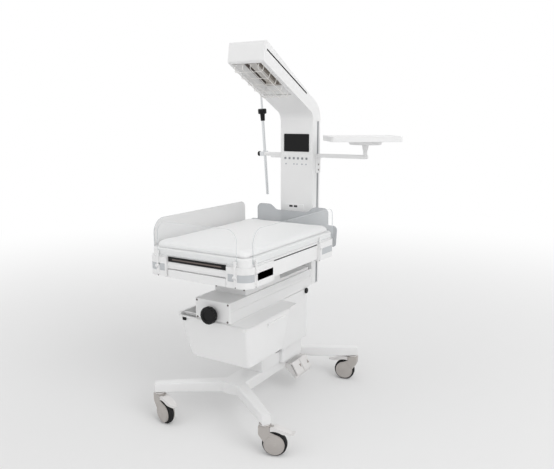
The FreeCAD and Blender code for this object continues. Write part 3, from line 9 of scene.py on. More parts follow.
import bmesh
import bpy
import numpy as np
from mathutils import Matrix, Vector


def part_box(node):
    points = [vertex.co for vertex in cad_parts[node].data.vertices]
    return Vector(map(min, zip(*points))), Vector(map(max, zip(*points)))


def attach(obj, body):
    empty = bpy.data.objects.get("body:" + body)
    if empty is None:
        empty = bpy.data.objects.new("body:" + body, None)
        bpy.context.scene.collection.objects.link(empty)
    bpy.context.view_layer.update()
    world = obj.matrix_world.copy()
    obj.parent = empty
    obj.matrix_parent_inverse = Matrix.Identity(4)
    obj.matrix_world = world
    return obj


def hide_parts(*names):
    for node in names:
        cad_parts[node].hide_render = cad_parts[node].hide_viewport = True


bl_info = {
    "name": "Infant radiant warmer",
    "version": (1, 0, 0),
    "blender": (4, 5, 0),
    "location": "3D View > Sidebar > Warmer",
    "description": "Dresses the packed warmer with moulded edges, finishes and small parts",
    "category": "Object",
}

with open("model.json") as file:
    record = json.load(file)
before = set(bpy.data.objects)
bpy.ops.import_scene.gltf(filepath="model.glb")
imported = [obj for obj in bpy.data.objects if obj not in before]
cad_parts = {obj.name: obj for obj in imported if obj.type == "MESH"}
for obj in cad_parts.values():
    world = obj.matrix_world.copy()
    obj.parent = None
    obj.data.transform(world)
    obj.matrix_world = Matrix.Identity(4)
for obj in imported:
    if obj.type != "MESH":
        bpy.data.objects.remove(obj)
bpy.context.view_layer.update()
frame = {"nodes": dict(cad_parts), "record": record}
NODES = frame["nodes"]
MM = 0.001


# Colours and shader nodes

def linear(code):
    """Linear RGBA of an sRGB hex code."""
    channels = [int(code[i:i + 2], 16) / 255 for i in (1, 3, 5)]
    return tuple(c / 12.92 if c <= 0.04045 else ((c + 0.055) / 1.055) ** 2.4 for c in channels) + (1.0,)


def add_node(tree, kind, links=None, **settings):
    """Add a shader node; settings name its properties or sockets, links map sockets to output sockets."""
    node = tree.nodes.new(kind)
    for key, value in settings.items():
        if key in node.inputs:
            node.inputs[key].default_value = value
        else:
            setattr(node, key, value)
    for key, source in (links or {}).items():
        tree.links.new(source, node.inputs[key])
    return node


def new_material(name):
    material = bpy.data.materials.new(name)
    material.use_nodes = True
    tree = material.node_tree
    tree.nodes.clear()
    output = tree.nodes.new("ShaderNodeOutputMaterial")
    return material, tree, output


def surface(name, colour, roughness, ior=1.5, metallic=0.0, coat=0.0, grain_mm=0.0, grain_height_mm=0.0,
            tint=0.0, edge_mm=0.0, specular=0.5, stretch=(1, 1, 1)):
    """Opaque surface on Object coordinates.

    A fine noise of the given grain makes the bump, a broad one varies the colour by tint and the
    roughness a little, and the shader's own bevel eases sharp edges over edge_mm.
    """
    material, tree, output = new_material(name)
    bsdf = add_node(tree, "ShaderNodeBsdfPrincipled", IOR=ior, Metallic=metallic)
    bsdf.inputs["Coat Weight"].default_value = coat
    bsdf.inputs["Specular IOR Level"].default_value = specular
    tree.links.new(bsdf.outputs["BSDF"], output.inputs["Surface"])
    place = add_node(tree, "ShaderNodeTexCoord")
    mapping = add_node(tree, "ShaderNodeMapping", {"Vector": place.outputs["Object"]}, Scale=stretch)
    broad = add_node(tree, "ShaderNodeTexNoise", {"Vector": mapping.outputs["Vector"]}, Scale=9.0,
                     Detail=3.0, Roughness=0.5)
    base = linear(colour)
    dark = tuple(c * (1 - tint) for c in base[:3]) + (1.0,)
    mix = add_node(tree, "ShaderNodeMix", {"Factor": broad.outputs["Fac"]}, data_type="RGBA")
    for socket in mix.inputs:
        if socket.type == "RGBA":
            socket.default_value = dark if socket.identifier.startswith("A") else base
    result = [s for s in mix.outputs if s.type == "RGBA"][0]
    tree.links.new(result, bsdf.inputs["Base Color"])
    rough = add_node(tree, "ShaderNodeMapRange", {"Value": broad.outputs["Fac"]})
    rough.inputs["To Min"].default_value = roughness * 0.92
    rough.inputs["To Max"].default_value = min(1.0, roughness * 1.08)
    tree.links.new(rough.outputs["Result"], bsdf.inputs["Roughness"])
    normal = None
    if edge_mm:
        edge = add_node(tree, "ShaderNodeBevel", Radius=edge_mm * MM)
        edge.samples = 4
        normal = edge.outputs["Normal"]
    if grain_mm:
        grain = add_node(tree, "ShaderNodeTexNoise", {"Vector": mapping.outputs["Vector"]},
                         Scale=1.0 / (grain_mm * MM), Detail=2.0)
        links = {"Height": grain.outputs["Fac"]}
        if normal:
            links["Normal"] = normal
        bump = add_node(tree, "ShaderNodeBump", links, Strength=1.0, Distance=grain_height_mm * MM)
        normal = bump.outputs["Normal"]
    if normal:
        tree.links.new(normal, bsdf.inputs["Normal"])
    return material


def see_through(name, colour, clear, roughness=0.04, ior=1.49):
    """Thin clear sheet: part of the light passes straight through, the rest is a glossy tinted plastic."""
    material, tree, output = new_material(name)
    bsdf = add_node(tree, "ShaderNodeBsdfPrincipled", IOR=ior, Roughness=roughness)
    bsdf.inputs["Base Color"].default_value = linear(colour)
    bsdf.inputs["Alpha"].default_value = 1 - clear
    tree.links.new(bsdf.outputs["BSDF"], output.inputs["Surface"])
    return material


# Meshes. Angles are in degrees: facets under the first lie in one flat face, edges over the second are eased

FLAT_ANGLE = 0.6
EDGE_ANGLE = 28.0


def mesh_object(name, points, faces, smooth_angle=35.0):
    """Object from an array of points and a list of faces."""
    mesh = bpy.data.meshes.new(name)
    mesh.from_pydata(np.asarray(points, float).tolist(), [], [list(f) for f in faces])
    mesh.update()
    piece = bpy.data.objects.new(name, mesh)
    bpy.context.scene.collection.objects.link(piece)
    shade(piece, smooth_angle)
    return piece


def shade(piece, angle=35.0):
    """Smooth shading that stays sharp over the given angle."""
    mesh = piece.data
    mesh.polygons.foreach_set("use_smooth", np.ones(len(mesh.polygons), bool))
    mesh.set_sharp_from_angle(angle=math.radians(angle))


def outward(piece):
    """Merge doubles and point every face outwards."""
    shell = bmesh.new()
    shell.from_mesh(piece.data)
    bmesh.ops.remove_doubles(shell, verts=shell.verts, dist=1e-6)
    bmesh.ops.recalc_face_normals(shell, faces=shell.faces)
    shell.to_mesh(piece.data)
    shell.free()


def finish_piece(piece, material, body, replaces=()):
    piece.data.materials.clear()
    piece.data.materials.append(material)
    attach(piece, body)
    if replaces:
        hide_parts(*replaces)
    return piece


def body_of_node(node):
    for body, members in frame["record"]["behaviour"]["bodies"].items():
        if node in members:
            return body
    raise ValueError("no body holds " + node)


def eased(node, width_mm, material):
    """Moulded copy of a CAD node: its flat faces are joined again and its edges rounded by width_mm."""
    source = NODES[node].data
    shell = bmesh.new()
    shell.from_mesh(source)
    bmesh.ops.remove_doubles(shell, verts=shell.verts, dist=1e-6)
    bmesh.ops.dissolve_limit(shell, angle_limit=math.radians(FLAT_ANGLE), use_dissolve_boundaries=False,
                             verts=shell.verts, edges=shell.edges, delimit={"NORMAL"})
    mesh = bpy.data.meshes.new(node + "_moulded")
    shell.to_mesh(mesh)
    shell.free()
    mesh.materials.clear()
    piece = bpy.data.objects.new(node + "_moulded", mesh)
    bpy.context.scene.collection.objects.link(piece)
    shade(piece, EDGE_ANGLE)
    bevel = piece.modifiers.new("Rounded edges", "BEVEL")
    bevel.width = width_mm * MM
    bevel.segments = 3
    bevel.miter_outer = "MITER_ARC"
    bevel.use_clamp_overlap = True
    bevel.limit_method = "ANGLE"
    bevel.angle_limit = math.radians(EDGE_ANGLE)
    bevel.harden_normals = True
    return finish_piece(piece, material, body_of_node(node), (node,))


def vertex_places(mesh):
    """Places of a mesh's vertices in mm, one row each."""
    places = np.empty(len(mesh.vertices) * 3)
    mesh.vertices.foreach_get("co", places)
    return places.reshape(-1, 3) / MM


def paint(piece, finish, chosen):
    """Give another finish to the faces whose corners all pass a test on their places in mm."""
    mesh = piece.data
    inside = chosen(vertex_places(mesh))
    corners = np.empty(len(mesh.loops), np.int64)
    mesh.loops.foreach_get("vertex_index", corners)
    starts = np.empty(len(mesh.polygons), np.int64)
    mesh.polygons.foreach_get("loop_start", starts)
    set_finish(piece, finish, np.logical_and.reduceat(inside[corners], starts))


def paint_rims(piece, finish, axis):
    """Give another finish to the faces that don't look along the axis: the edges of a flat sheet."""
    mesh = piece.data
    normals = np.empty(len(mesh.polygons) * 3)
    mesh.polygons.foreach_get("normal", normals)
    set_finish(piece, finish, np.abs(normals.reshape(-1, 3)[:, axis]) < 0.6)


def set_finish(piece, finish, faces):
    """Add a finish to the piece and give it to the faces that a mask picks."""
    mesh = piece.data
    mesh.materials.append(FINISH[finish])
    index = np.empty(len(mesh.polygons), np.int32)
    mesh.polygons.foreach_get("material_index", index)
    index[faces] = len(mesh.materials) - 1
    mesh.polygons.foreach_set("material_index", index)
    mesh.update()


# Forms worked out from arrays of points, in mm

WIRE_SIDES = 10


def grid_faces(rows, columns):
    """Quads between the rows of a grid whose columns run round and close."""
    row, column = np.meshgrid(np.arange(rows - 1), np.arange(columns), indexing="ij")
    here, there = row * columns + column, row * columns + (column + 1) % columns
    return np.stack([here, there, there + columns, here + columns], axis=-1).reshape(-1, 4).tolist()


def closed_tube(name, rings, smooth_angle=35.0):
    """Skin over rings of points in mm, closed by one flat face at each end."""
    rows, columns = rings.shape[:2]
    faces = grid_faces(rows, columns)
    faces.append(list(range(columns)))
    faces.append(list(range((rows - 1) * columns, rows * columns)))
    piece = mesh_object(name, rings.reshape(-1, 3) * MM, faces, smooth_angle)
    outward(piece)
    shade(piece, smooth_angle)
    return piece


def unit(vector):
    vector = np.asarray(vector, float)
    return vector / np.linalg.norm(vector, axis=-1, keepdims=True)


def rounded(points, reach, steps=5, closed=False):
    """Line or loop whose corners are eased: each corner becomes a parabola that leaves its two sides at
    the reach from the corner, or at half of the shorter side."""
    points = np.asarray(points, float)
    back, ahead = np.roll(points, 1, axis=0) - points, np.roll(points, -1, axis=0) - points
    back_length, ahead_length = np.linalg.norm(back, axis=1), np.linalg.norm(ahead, axis=1)
    cut = np.minimum(reach, 0.499 * np.minimum(back_length, ahead_length))[:, None]
    start = (points + back / back_length[:, None] * cut)[:, None]
    end = (points + ahead / ahead_length[:, None] * cut)[:, None]
    t = np.linspace(0, 1, steps)[None, :, None]
    arcs = (1 - t) ** 2 * start + 2 * t * (1 - t) * points[:, None] + t ** 2 * end
    if closed:
        return arcs.reshape(-1, points.shape[1])
    return np.vstack([points[:1], arcs[1:-1].reshape(-1, points.shape[1]), points[-1:]])


def lathe(name, profile, centre, axis, segments, ease):
    """Turned form. Each (distance along the axis, radius) of the eased profile is a ring round the axis:
    centre + distance * axis + radius * (cos(angle) * side + sin(angle) * (axis x side))."""
    profile = rounded(profile, ease, 4)
    way = unit(axis)
    side = unit(np.cross(way, (0, 0, 1) if abs(way[2]) < 0.9 else (1, 0, 0)))
    angle = np.linspace(0, 2 * np.pi, segments, endpoint=False)
    spokes = np.cos(angle)[:, None] * side + np.sin(angle)[:, None] * np.cross(way, side)
    rings = np.asarray(centre) + profile[:, 0, None, None] * way + profile[:, 1, None, None] * spokes
    return closed_tube(name, rings)


def wire(name, path, radius, across, bend):
    """Round wire in one plane: at each point of its eased path a circle of points stands square to the
    mean of the directions before and after, with one spoke along the plane's normal."""
    path = rounded(path, bend, 6)
    steps = unit(np.diff(path, axis=0))
    way = unit(np.vstack([steps[:1], steps[:-1] + steps[1:], steps[-1:]]))
    across = unit(across)
    up = np.cross(way, across)
    angle = np.linspace(0, 2 * np.pi, WIRE_SIDES, endpoint=False)[None, :, None]
    rings = path[:, None] + radius * (np.cos(angle) * across + np.sin(angle) * up[:, None])
    return closed_tube(name, rings, 60.0)


def plate(name, corners, low, high, ease, rim, place):
    """Plate over a rounded outline. Its rims follow a quarter circle: at the angle a the outline is drawn
    in along its own normal by rim * (1 - sin a) while the height changes by rim * (1 - cos a)."""
    outline = rounded(corners, ease, 6, True)
    around = np.roll(outline, -1, axis=0) - np.roll(outline, 1, axis=0)
    turn = np.sum(outline[:, 0] * np.roll(outline[:, 1], -1) - np.roll(outline[:, 0], -1) * outline[:, 1])
    inward = unit(np.stack([-around[:, 1], around[:, 0]], axis=1) * np.sign(turn))
    angle = np.linspace(0, np.pi / 2, 4)
    draw = rim * (1 - np.sin(angle))
    rise = rim * (1 - np.cos(angle))
    draws = np.concatenate([draw, draw[::-1]])
    heights = np.concatenate([low + rise, high - rise[::-1]])
    flat = outline[None] + draws[:, None, None] * inward[None]
    u, v = flat[..., 0], flat[..., 1]
    w = np.broadcast_to(heights[:, None], u.shape)
    return closed_tube(name, place(u, v, w), 40.0)


def facing_front(u, v, w):
    """Outline in X and Z, thickness towards -Y."""
    return np.stack([u, -w, v], axis=-1)


def facing_right(u, v, w):
    """Outline in Y and Z, thickness towards +X."""
    return np.stack([w, u, v], axis=-1)


def box_corners(u0, u1, v0, v1):
    return [(u0, v0), (u1, v0), (u1, v1), (u0, v1)]


def join(name, pieces):
    """One object from several, for a row of equal small parts."""
    with bpy.context.temp_override(active_object=pieces[0], selected_editable_objects=pieces):
        bpy.ops.object.join()
    pieces[0].name = name
    return pieces[0]


# Finishes, each named for the real material and how its surface was made

def finishes():
    made = {}
    # Epoxy-polyester powder coat on sheet steel: satin, with a faint orange peel about 2 mm across.
    made["powder_coat"] = surface("powder_coat_white", look().steel_white, 0.42, 1.52, grain_mm=2.0,
                                  grain_height_mm=0.012, tint=0.012, edge_mm=0.8)
    # Injection-moulded ABS: smoother and a little glossier, with a weak mould texture about 1 mm across.
    made["moulded_abs"] = surface("moulded_abs_white", look().plastic_white, 0.34, 1.53, grain_mm=1.0,
                                  grain_height_mm=0.006, tint=0.01, edge_mm=0.6)
    # Moulded ABS of the brake pedals and foot pads: pale warm grey, satin. The same pale grey on the bed's
    # side strips is a painted highlight.
    made["pedal_grey_and_highlight"] = surface("pedal_pale_and_highlight", look().pedal_pale, 0.42, 1.53, grain_mm=1.0,
                                grain_height_mm=0.012, tint=0.02, edge_mm=0.6)
    # Printed brown-grey of the triangles on the foot pads.
    made["mark_brown"] = surface("printed_mark_brown", "#9A908A", 0.5, 1.5, tint=0.04)
    # Dark brown rubber of the swivel seals and mouth seams, and the tray's stripe. Behind the louvres the
    # same brown is painted shade between the slats.
    made["seal_brown"] = surface("rubber_seal_brown", "#6A5F5A", 0.55, 1.5, tint=0.08)
    # Painted shade: mid grey on the groove in the head's sides, standing in for the shade that falls inside
    # the groove.
    made["groove_shade_grey"] = surface("groove_painted_shade_grey", "#B9B9BA", 0.5, 1.5, tint=0.03)
    # Blackened steel of the screw heads, hinge pins and louvres.
    made["screw_dark"] = surface("screw_blackened", "#6B6562", 0.45, 1.5, metallic=0.4, tint=0.08)
    # Edge of cut acrylic, where the sheet shows its full depth.
    made["acrylic_edge"] = see_through("acrylic_edge", "#CFD4D6", 0.25, 0.2)
    # Edge of the grey head panel.
    made["grey_edge"] = see_through("acrylic_grey_edge", "#A9ADB0", 0.1, 0.25)
    # Textured ABS inserts and pads: mid grey with a fine spark-eroded grain.
    made["grey_abs"] = surface("textured_abs_grey", look().grey_plastic, 0.5, 1.53, grain_mm=0.9,
                               grain_height_mm=0.02, tint=0.03, edge_mm=0.5)
    # Glass-filled nylon castor forks: warm grey and matt.
    made["castor_nylon"] = surface("castor_nylon_grey", look().castor_grey, 0.48, 1.53, grain_mm=1.0,
                                   grain_height_mm=0.02, tint=0.05, edge_mm=0.6)
    # Thermoplastic rubber tread: near black, matt, with a little dust in its grain.
    made["tread_rubber"] = surface("tread_rubber_black", look().tyre_black, 0.62, 1.52, specular=0.3,
                                   grain_mm=1.2, grain_height_mm=0.05, tint=0.25, edge_mm=0.4)
    # Moulded nylon knobs and latch: black with a soft sheen and a grain of 0.8 mm.
    made["knob_black"] = surface("knob_nylon_black", look().knob_black, 0.42, 1.54, specular=0.22,
                                 grain_mm=0.8, grain_height_mm=0.02, tint=0.2, edge_mm=0.5)
    # Display window and tray front: smoked glass and gloss plastic that look black.
    made["display_glass"] = surface("display_glass_black", "#0B0B0D", 0.3, 1.52, specular=0.2, tint=0.05)
    # Bright chromed tube of the infusion pole.
    made["chrome"] = surface("chrome_bright", "#D9DBDD", 0.12, metallic=1.0, tint=0.02)
    # Zinc-plated steel of the lift actuator and the spindle.
    made["zinc"] = surface("zinc_plate", "#A9A7A4", 0.35, metallic=1.0, tint=0.06)
    # Clear anodised aluminium, drawn along Z: a grain 1.5 mm wide and 75 mm long, coarser than real.
    made["anodised"] = surface("anodised_aluminium", "#C7C9CB", 0.36, metallic=1.0, grain_mm=1.5,
                               grain_height_mm=0.008, tint=0.03, stretch=(1, 1, 0.02))
    # Bright rolled aluminium of the reflector.
    made["reflector_sheet"] = surface("reflector_aluminium", "#E4E1DD", 0.34, metallic=0.6, tint=0.03)
    # Fired ceramic rod of the heater.
    made["ceramic"] = surface("heater_ceramic", "#8A837B", 0.6, tint=0.12, grain_mm=1.0, grain_height_mm=0.03)
    # Polyurethane-coated knit over foam: matt, with a faint weave and soft undulation.
    made["mattress_cover"] = surface("mattress_cover_white", look().mattress_white, 0.58, 1.46, grain_mm=1.6,
                                     grain_height_mm=0.05, tint=0.015)
    # Clear cast acrylic sheet.
    made["clear_acrylic"] = see_through("acrylic_clear", "#F4F7F8", look().panel_clearness)
    # Frosted acrylic sheet of the left side.
    made["frosted_acrylic"] = see_through("acrylic_frosted", "#E9E9E9", 0.18, 0.35)
    # Grey acrylic of the head panel, drawn darker and less clear than the side panels.
    made["grey_acrylic"] = see_through("acrylic_grey", look().head_panel_grey, 0.3, 0.12)
    # Plasticised wire of the guard: milky white.
    made["coated_wire"] = surface("coated_wire_white", "#EDEBE8", 0.3, 1.5, tint=0.02)
    # Painted shade: near black that stands in for the shade in the bed's side slot and the sensor's sockets.
    made["shadow_black"] = surface("painted_shade_black", "#26262A", 0.5, 1.5, tint=0.1)
    # Clear lens over an unlit lamp.
    made["lamp_lens"] = surface("lamp_lens_pale", "#AEB4BC", 0.18, 1.49, coat=0.5, tint=0.05)
    # Membrane key caps: matt grey-green rubber.
    made["key_rubber"] = surface("key_rubber_grey", "#8E9296", 0.55, 1.5, tint=0.06, edge_mm=0.4)
    return made


FINISH = {}


def look():
    return bpy.context.scene.warmer_look


def sizes():
    return bpy.context.scene.warmer_sizes


# Sizes and colours that a user would change

class WarmerLook(bpy.types.PropertyGroup):
    """Colours of the warmer's finishes, as sRGB hex codes."""
    steel_white: bpy.props.StringProperty(name="Steel white", description="Powder coat colour",
                                          default="#EDEDED")
    plastic_white: bpy.props.StringProperty(name="Plastic white", description="Moulded housing colour",
                                            default="#EFEFEF")
    mattress_white: bpy.props.StringProperty(name="Mattress white", description="Mattress cover colour",
                                             default="#F1F1F1")
    grey_plastic: bpy.props.StringProperty(name="Insert grey", description="Grey inserts and pads",
                                           default="#C4C7CA")
    pedal_pale: bpy.props.StringProperty(name="Pedal pale", description="Brake pedals and foot pads",
                                         default="#E2E0DF")
    castor_grey: bpy.props.StringProperty(name="Castor grey", description="Castor forks",
                                          default="#B9B4B0")
    tyre_black: bpy.props.StringProperty(name="Tyre black", description="Castor tread", default="#1A1A1C")
    knob_black: bpy.props.StringProperty(name="Knob black", description="Knobs and collar",
                                         default="#0E0E10")
    head_panel_grey: bpy.props.StringProperty(name="Head panel grey", description="Tinted head panel",
                                              default="#C3C6C9")
    panel_clearness: bpy.props.FloatProperty(name="Panel clearness", description="Light let through",
                                             default=0.9, min=0.0, max=1.0, subtype="FACTOR")


class WarmerSizes(bpy.types.PropertyGroup):
    """Small sizes of the visual pieces."""
    guard_wire: bpy.props.FloatProperty(name="Guard wire", description="Radius of the guard's wires",
                                        default=0.0016, unit="LENGTH")
    mattress_grid: bpy.props.FloatProperty(name="Mattress grid", description="Size of the cover's faces",
                                           default=0.006, unit="LENGTH")
    mattress_swell: bpy.props.FloatProperty(name="Mattress swell", description="Most that the cover moves",
                                            default=0.009, unit="LENGTH")


# Stage

class WARMER_OT_stage(bpy.types.Operator):
    """Pale floor that fades to white, soft light and the camera"""
    bl_idname = "warmer.stage"
    bl_label = "Stage and camera"

    def execute(self, context):
        scene = context.scene
        scene.view_settings.view_transform = "Standard"
        floor = mesh_object("floor", [(-30, -30, 0), (30, -30, 0), (30, 30, 0), (-30, 30, 0)], [(0, 1, 2, 3)])
        floor.data.materials.append(floor_material())
        world_light(scene)
        for name, place, aim, size, power in (
                ("key", (4.2, -1.6, 3.6), (0.0, 0.0, 1.0), 3.0, 52.0),
                ("fill", (-3.0, -4.5, 3.2), (0.0, 0.0, 1.0), 3.5, 12.0)):
            lamp = bpy.data.lights.new(name, "AREA")
            lamp.shape = "SQUARE"
            lamp.size = size
            lamp.energy = power
            holder = bpy.data.objects.new(name, lamp)
            scene.collection.objects.link(holder)
            holder.location = place
            aim_vector = np.subtract(aim, place)
            holder.rotation_euler = direction_to_euler(aim_vector)
        eye = bpy.data.cameras.new("photo_camera")
        eye.sensor_width = 36.0
        eye.lens = 39.56
        eye.clip_end = 200.0
        camera = bpy.data.objects.new("photo_camera", eye)
        scene.collection.objects.link(camera)
        camera.location = (1.808, -2.799, 1.600)
        camera.rotation_euler = (math.radians(90 - 10.66), 0.0, math.radians(31.5))
        scene.camera = camera
        return {"FINISHED"}


def direction_to_euler(way):
    """Euler angles that turn a lamp's -Z axis along a direction."""
    flat = math.hypot(way[0], way[1])
    return (math.pi / 2 + math.atan2(way[2], flat), 0.0, math.atan2(way[1], way[0]) - math.pi / 2)


def floor_material():
    """Pale grey vinyl near the object; camera and mirror rays see it fade to white with distance."""
    material, tree, output = new_material("floor_vinyl_pale")
    diffuse = add_node(tree, "ShaderNodeBsdfDiffuse", Roughness=1.0)
    diffuse.inputs["Color"].default_value = linear("#EAEAEA")
    glow = add_node(tree, "ShaderNodeEmission", Strength=1.0)
    place = add_node(tree, "ShaderNodeTexCoord")
    far = add_node(tree, "ShaderNodeVectorMath", {0: place.outputs["Object"]}, operation="LENGTH")
    fade = add_node(tree, "ShaderNodeMapRange", {"Value": far.outputs["Value"]}, clamp=True,
                    interpolation_type="SMOOTHSTEP")
    fade.inputs["From Min"].default_value = 1.0
    fade.inputs["From Max"].default_value = 6.5
    seen = seen_rays(tree)
    part = add_node(tree, "ShaderNodeMath", {0: fade.outputs["Result"], 1: seen}, operation="MULTIPLY")
    mix = add_node(tree, "ShaderNodeMixShader", {0: part.outputs["Value"], 1: diffuse.outputs["BSDF"],
                                                 2: glow.outputs["Emission"]})
    tree.links.new(mix.outputs["Shader"], output.inputs["Surface"])
    return material


def seen_rays(tree):
    """1 for camera, glossy and transmitted rays, else 0."""
    path = add_node(tree, "ShaderNodeLightPath")
    first = add_node(tree, "ShaderNodeMath", {0: path.outputs["Is Camera Ray"],
                                              1: path.outputs["Is Glossy Ray"]}, operation="MAXIMUM")
    both = add_node(tree, "ShaderNodeMath", {0: first.outputs["Value"],
                                             1: path.outputs["Is Transmission Ray"]}, operation="MAXIMUM")
    return both.outputs["Value"]


def world_light(scene):
    """Even white surround: strength 1 where it is seen, a little less where it lights."""
    world = bpy.data.worlds.new("studio")
    scene.world = world
    world.use_nodes = True
    tree = world.node_tree
    tree.nodes.clear()
    output = tree.nodes.new("ShaderNodeOutputWorld")
    seen = seen_rays(tree)
    strength = add_node(tree, "ShaderNodeMapRange", {"Value": seen})
    strength.inputs["To Min"].default_value = 0.86
    strength.inputs["To Max"].default_value = 1.0
    light = add_node(tree, "ShaderNodeBackground", {"Strength": strength.outputs["Result"]})
    light.inputs["Color"].default_value = (1, 1, 1, 1)
    tree.links.new(light.outputs["Background"], output.inputs["Surface"])


# Housings and frames whose CAD form is right: the same form with moulded or folded edges

MOULDED = (
    # node, finish, edge radius in mm
    ("base_frame", "powder_coat", 2.0),
    ("base_plinth", "powder_coat", 2.0),
    ("inner_column", "powder_coat", 1.0),
    ("outer_cover", "powder_coat", 1.0),
    ("beam_box", "powder_coat", 2.0),
    ("neck", "powder_coat", 2.0),
    ("bin_runners", "moulded_abs", 1.0),
    ("column", "powder_coat", 1.2),
    ("head_bezel", "moulded_abs", 0.8),
    ("bed_frame", "moulded_abs", 3.0),
    ("foot_rail", "moulded_abs", 2.0),
    ("corner_blocks", "moulded_abs", 1.0),
    ("xray_tray", "moulded_abs", 1.0),
    ("storage_bin", "moulded_abs", 1.2),
    ("pedal_housing", "pedal_grey_and_highlight", 3.0),
    ("pedal_raise", "pedal_grey_and_highlight", 1.5),
    ("pedal_lower", "pedal_grey_and_highlight", 1.5),
    ("tilt_knob", "knob_black", 1.5),
    ("side_knob", "knob_black", 1.0),
    ("pole_knob", "knob_black", 1.0),
    ("pole_collar", "knob_black", 1.0),
    ("display", "display_glass", 1.0),
    ("foot_panel", "clear_acrylic", 0.8),
    ("right_panel", "clear_acrylic", 0.8),
    ("left_panel", "frosted_acrylic", 0.8),
    ("head_panel", "grey_acrylic", 1.0),
    ("side_rails", "anodised", 0.6),
    ("shelf_arm", "powder_coat", 1.5),
    ("shelf", "moulded_abs", 2.0),
    ("pole_arm", "powder_coat", 1.5),
    ("sensor_module", "moulded_abs", 1.0),
)


class WARMER_OT_housings(bpy.types.Operator):
    """Housings, frames and covers with rounded edges"""
    bl_idname = "warmer.housings"
    bl_label = "Housings and frames"

    def execute(self, context):
        made = {}
        for node, finish, edge in MOULDED:
            made[node] = eased(node, edge, FINISH[finish])
        for number in range(1, 7):
            node = "key_%d" % number
            made[node] = eased(node, 0.6, FINISH["key_rubber"])
        for corner in CORNERS:
            made["fork_" + corner] = eased("fork_" + corner, 2.0, FINISH["castor_nylon"])
            made["brake_" + corner] = eased("brake_" + corner, 2.5, FINISH["pedal_grey_and_highlight"])
        head = eased("head_shell", 7.0, FINISH["moulded_abs"])
        # Painted shade: the faces of the head's side groove get a mid grey for the shade inside it.
        paint(head, "groove_shade_grey", in_head_groove)
        paint(made["corner_blocks"], "grey_abs", in_strip)
        # Painted shade: the floor and walls of the bed's side slot are drawn near black for the shade inside
        # it.
        paint(made["bed_frame"], "shadow_black", in_side_slot)
        paint(made["storage_bin"], "knob_black", in_latch)
        # Painted shade: the sensor's socket pockets are drawn near black for the shade inside them.
        paint(made["sensor_module"], "shadow_black", in_socket)
        for pad in ("pedal_raise", "pedal_lower"):
            paint(made[pad], "mark_brown", on_foot_mark)
        for panel, axis in (("foot_panel", 1), ("right_panel", 0), ("left_panel", 0)):
            paint_rims(made[panel], "acrylic_edge", axis)
            paint(made[panel], "moulded_abs", lambda p, a=axis: on_strap(p, a))
        paint_rims(made["head_panel"], "grey_edge", 1)
        return {"FINISHED"}


# Places on the model, in mm, and tests that pick the points of a feature

CORNERS = ("front_right", "front_left", "rear_right", "rear_left")
TOUCH = 0.1
HEAD_SLOPE = math.radians(25.7)
MOUTH_ORIGIN = (-145.0, 1889.8 - 12 * math.tan(HEAD_SLOPE))
MOUTH_LENGTH = 334.0
HEAD_HALF = 111.0
HEAD_GROOVE_DEPTH = 2.0
HEAD_GROOVE_LOW, HEAD_GROOVE_HIGH = 62.0, 70.0
HEAD_GROOVE_END = MOUTH_LENGTH + 120.5
DECK_HALF_WIDTH, DECK_HALF_LENGTH = 295.0, 437.0
DECK_MIDDLE = -149.0
DECK_CORNER = 47.0
STRIP_LOW, STRIP_HIGH = 868.0, 904.0
STRIP_NEAR, STRIP_FAR = 7.9, 10.5
SLOT_FRONT, SLOT_REAR = -382.0, 86.0
SLOT_LOW, SLOT_HIGH = 927.0, 933.0
LATCH_X, LATCH_HALF, LATCH_REAR, LATCH_LOW = -184.0, 9.0, -464.0, 579.0
SOCKETS = (-33.0, -1.0)
SOCKET_HEIGHT, SOCKET_HALF_WIDTH, SOCKET_HALF_HEIGHT = 1088.0, 12.0, 6.0
COLUMN_FRONT = 373.0
PAD_TOP = (97.0, 181.0)
PAD_RUN, PAD_DROP = 44.0, 71.0
PAD_FACE = 12.4
FOOT_SHEET_FRONT, SIDE_SHEET_OUTSIDE = -592.0, 302.0
FOOT_STRAP = 234.0
SIDE_STRAPS = (-533.0, 100.0)
STRAP_HALF = 5.0


def to_head(y, z):
    """Run back along the heater mouth and rise into the head, of places in the model's frame."""
    y, z = y - MOUTH_ORIGIN[0], z - MOUTH_ORIGIN[1]
    c, s = math.cos(HEAD_SLOPE), math.sin(HEAD_SLOPE)
    return y * c - z * s, y * s + z * c


def from_head(x, run, rise):
    """Place in the model's frame of a point of the heater mouth's own frame."""
    c, s = math.cos(HEAD_SLOPE), math.sin(HEAD_SLOPE)
    x, run, rise = np.broadcast_arrays(x, run, rise)
    return np.stack([x, MOUTH_ORIGIN[0] + run * c + rise * s, MOUTH_ORIGIN[1] - run * s + rise * c], axis=-1)


def between(values, low, high, margin=TOUCH):
    """True where a value lies in a range widened by the margin."""
    return (values > low - margin) & (values < high + margin)


def in_head_groove(p):
    run, rise = to_head(p[:, 1], p[:, 2])
    floor = HEAD_HALF - HEAD_GROOVE_DEPTH
    return ((np.abs(p[:, 0]) > floor - TOUCH) & between(rise, HEAD_GROOVE_LOW, HEAD_GROOVE_HIGH)
            & (run < HEAD_GROOVE_END))


def outside_deck(p):
    """Distance of places outside the deck's rounded outline, seen from above."""
    out_x = np.abs(p[:, 0]) - (DECK_HALF_WIDTH - DECK_CORNER)
    out_y = np.abs(p[:, 1] - DECK_MIDDLE) - (DECK_HALF_LENGTH - DECK_CORNER)
    corner = np.hypot(np.maximum(out_x, 0), np.maximum(out_y, 0))
    return corner + np.minimum(np.maximum(out_x, out_y), 0) - DECK_CORNER


def in_strip(p):
    return between(outside_deck(p), STRIP_NEAR, STRIP_FAR, 0) & between(p[:, 2], STRIP_LOW, STRIP_HIGH)


def in_side_slot(p):
    return ((np.abs(p[:, 0]) > DECK_HALF_WIDTH - 4 - TOUCH) & between(p[:, 1], SLOT_FRONT, SLOT_REAR)
            & between(p[:, 2], SLOT_LOW, SLOT_HIGH))


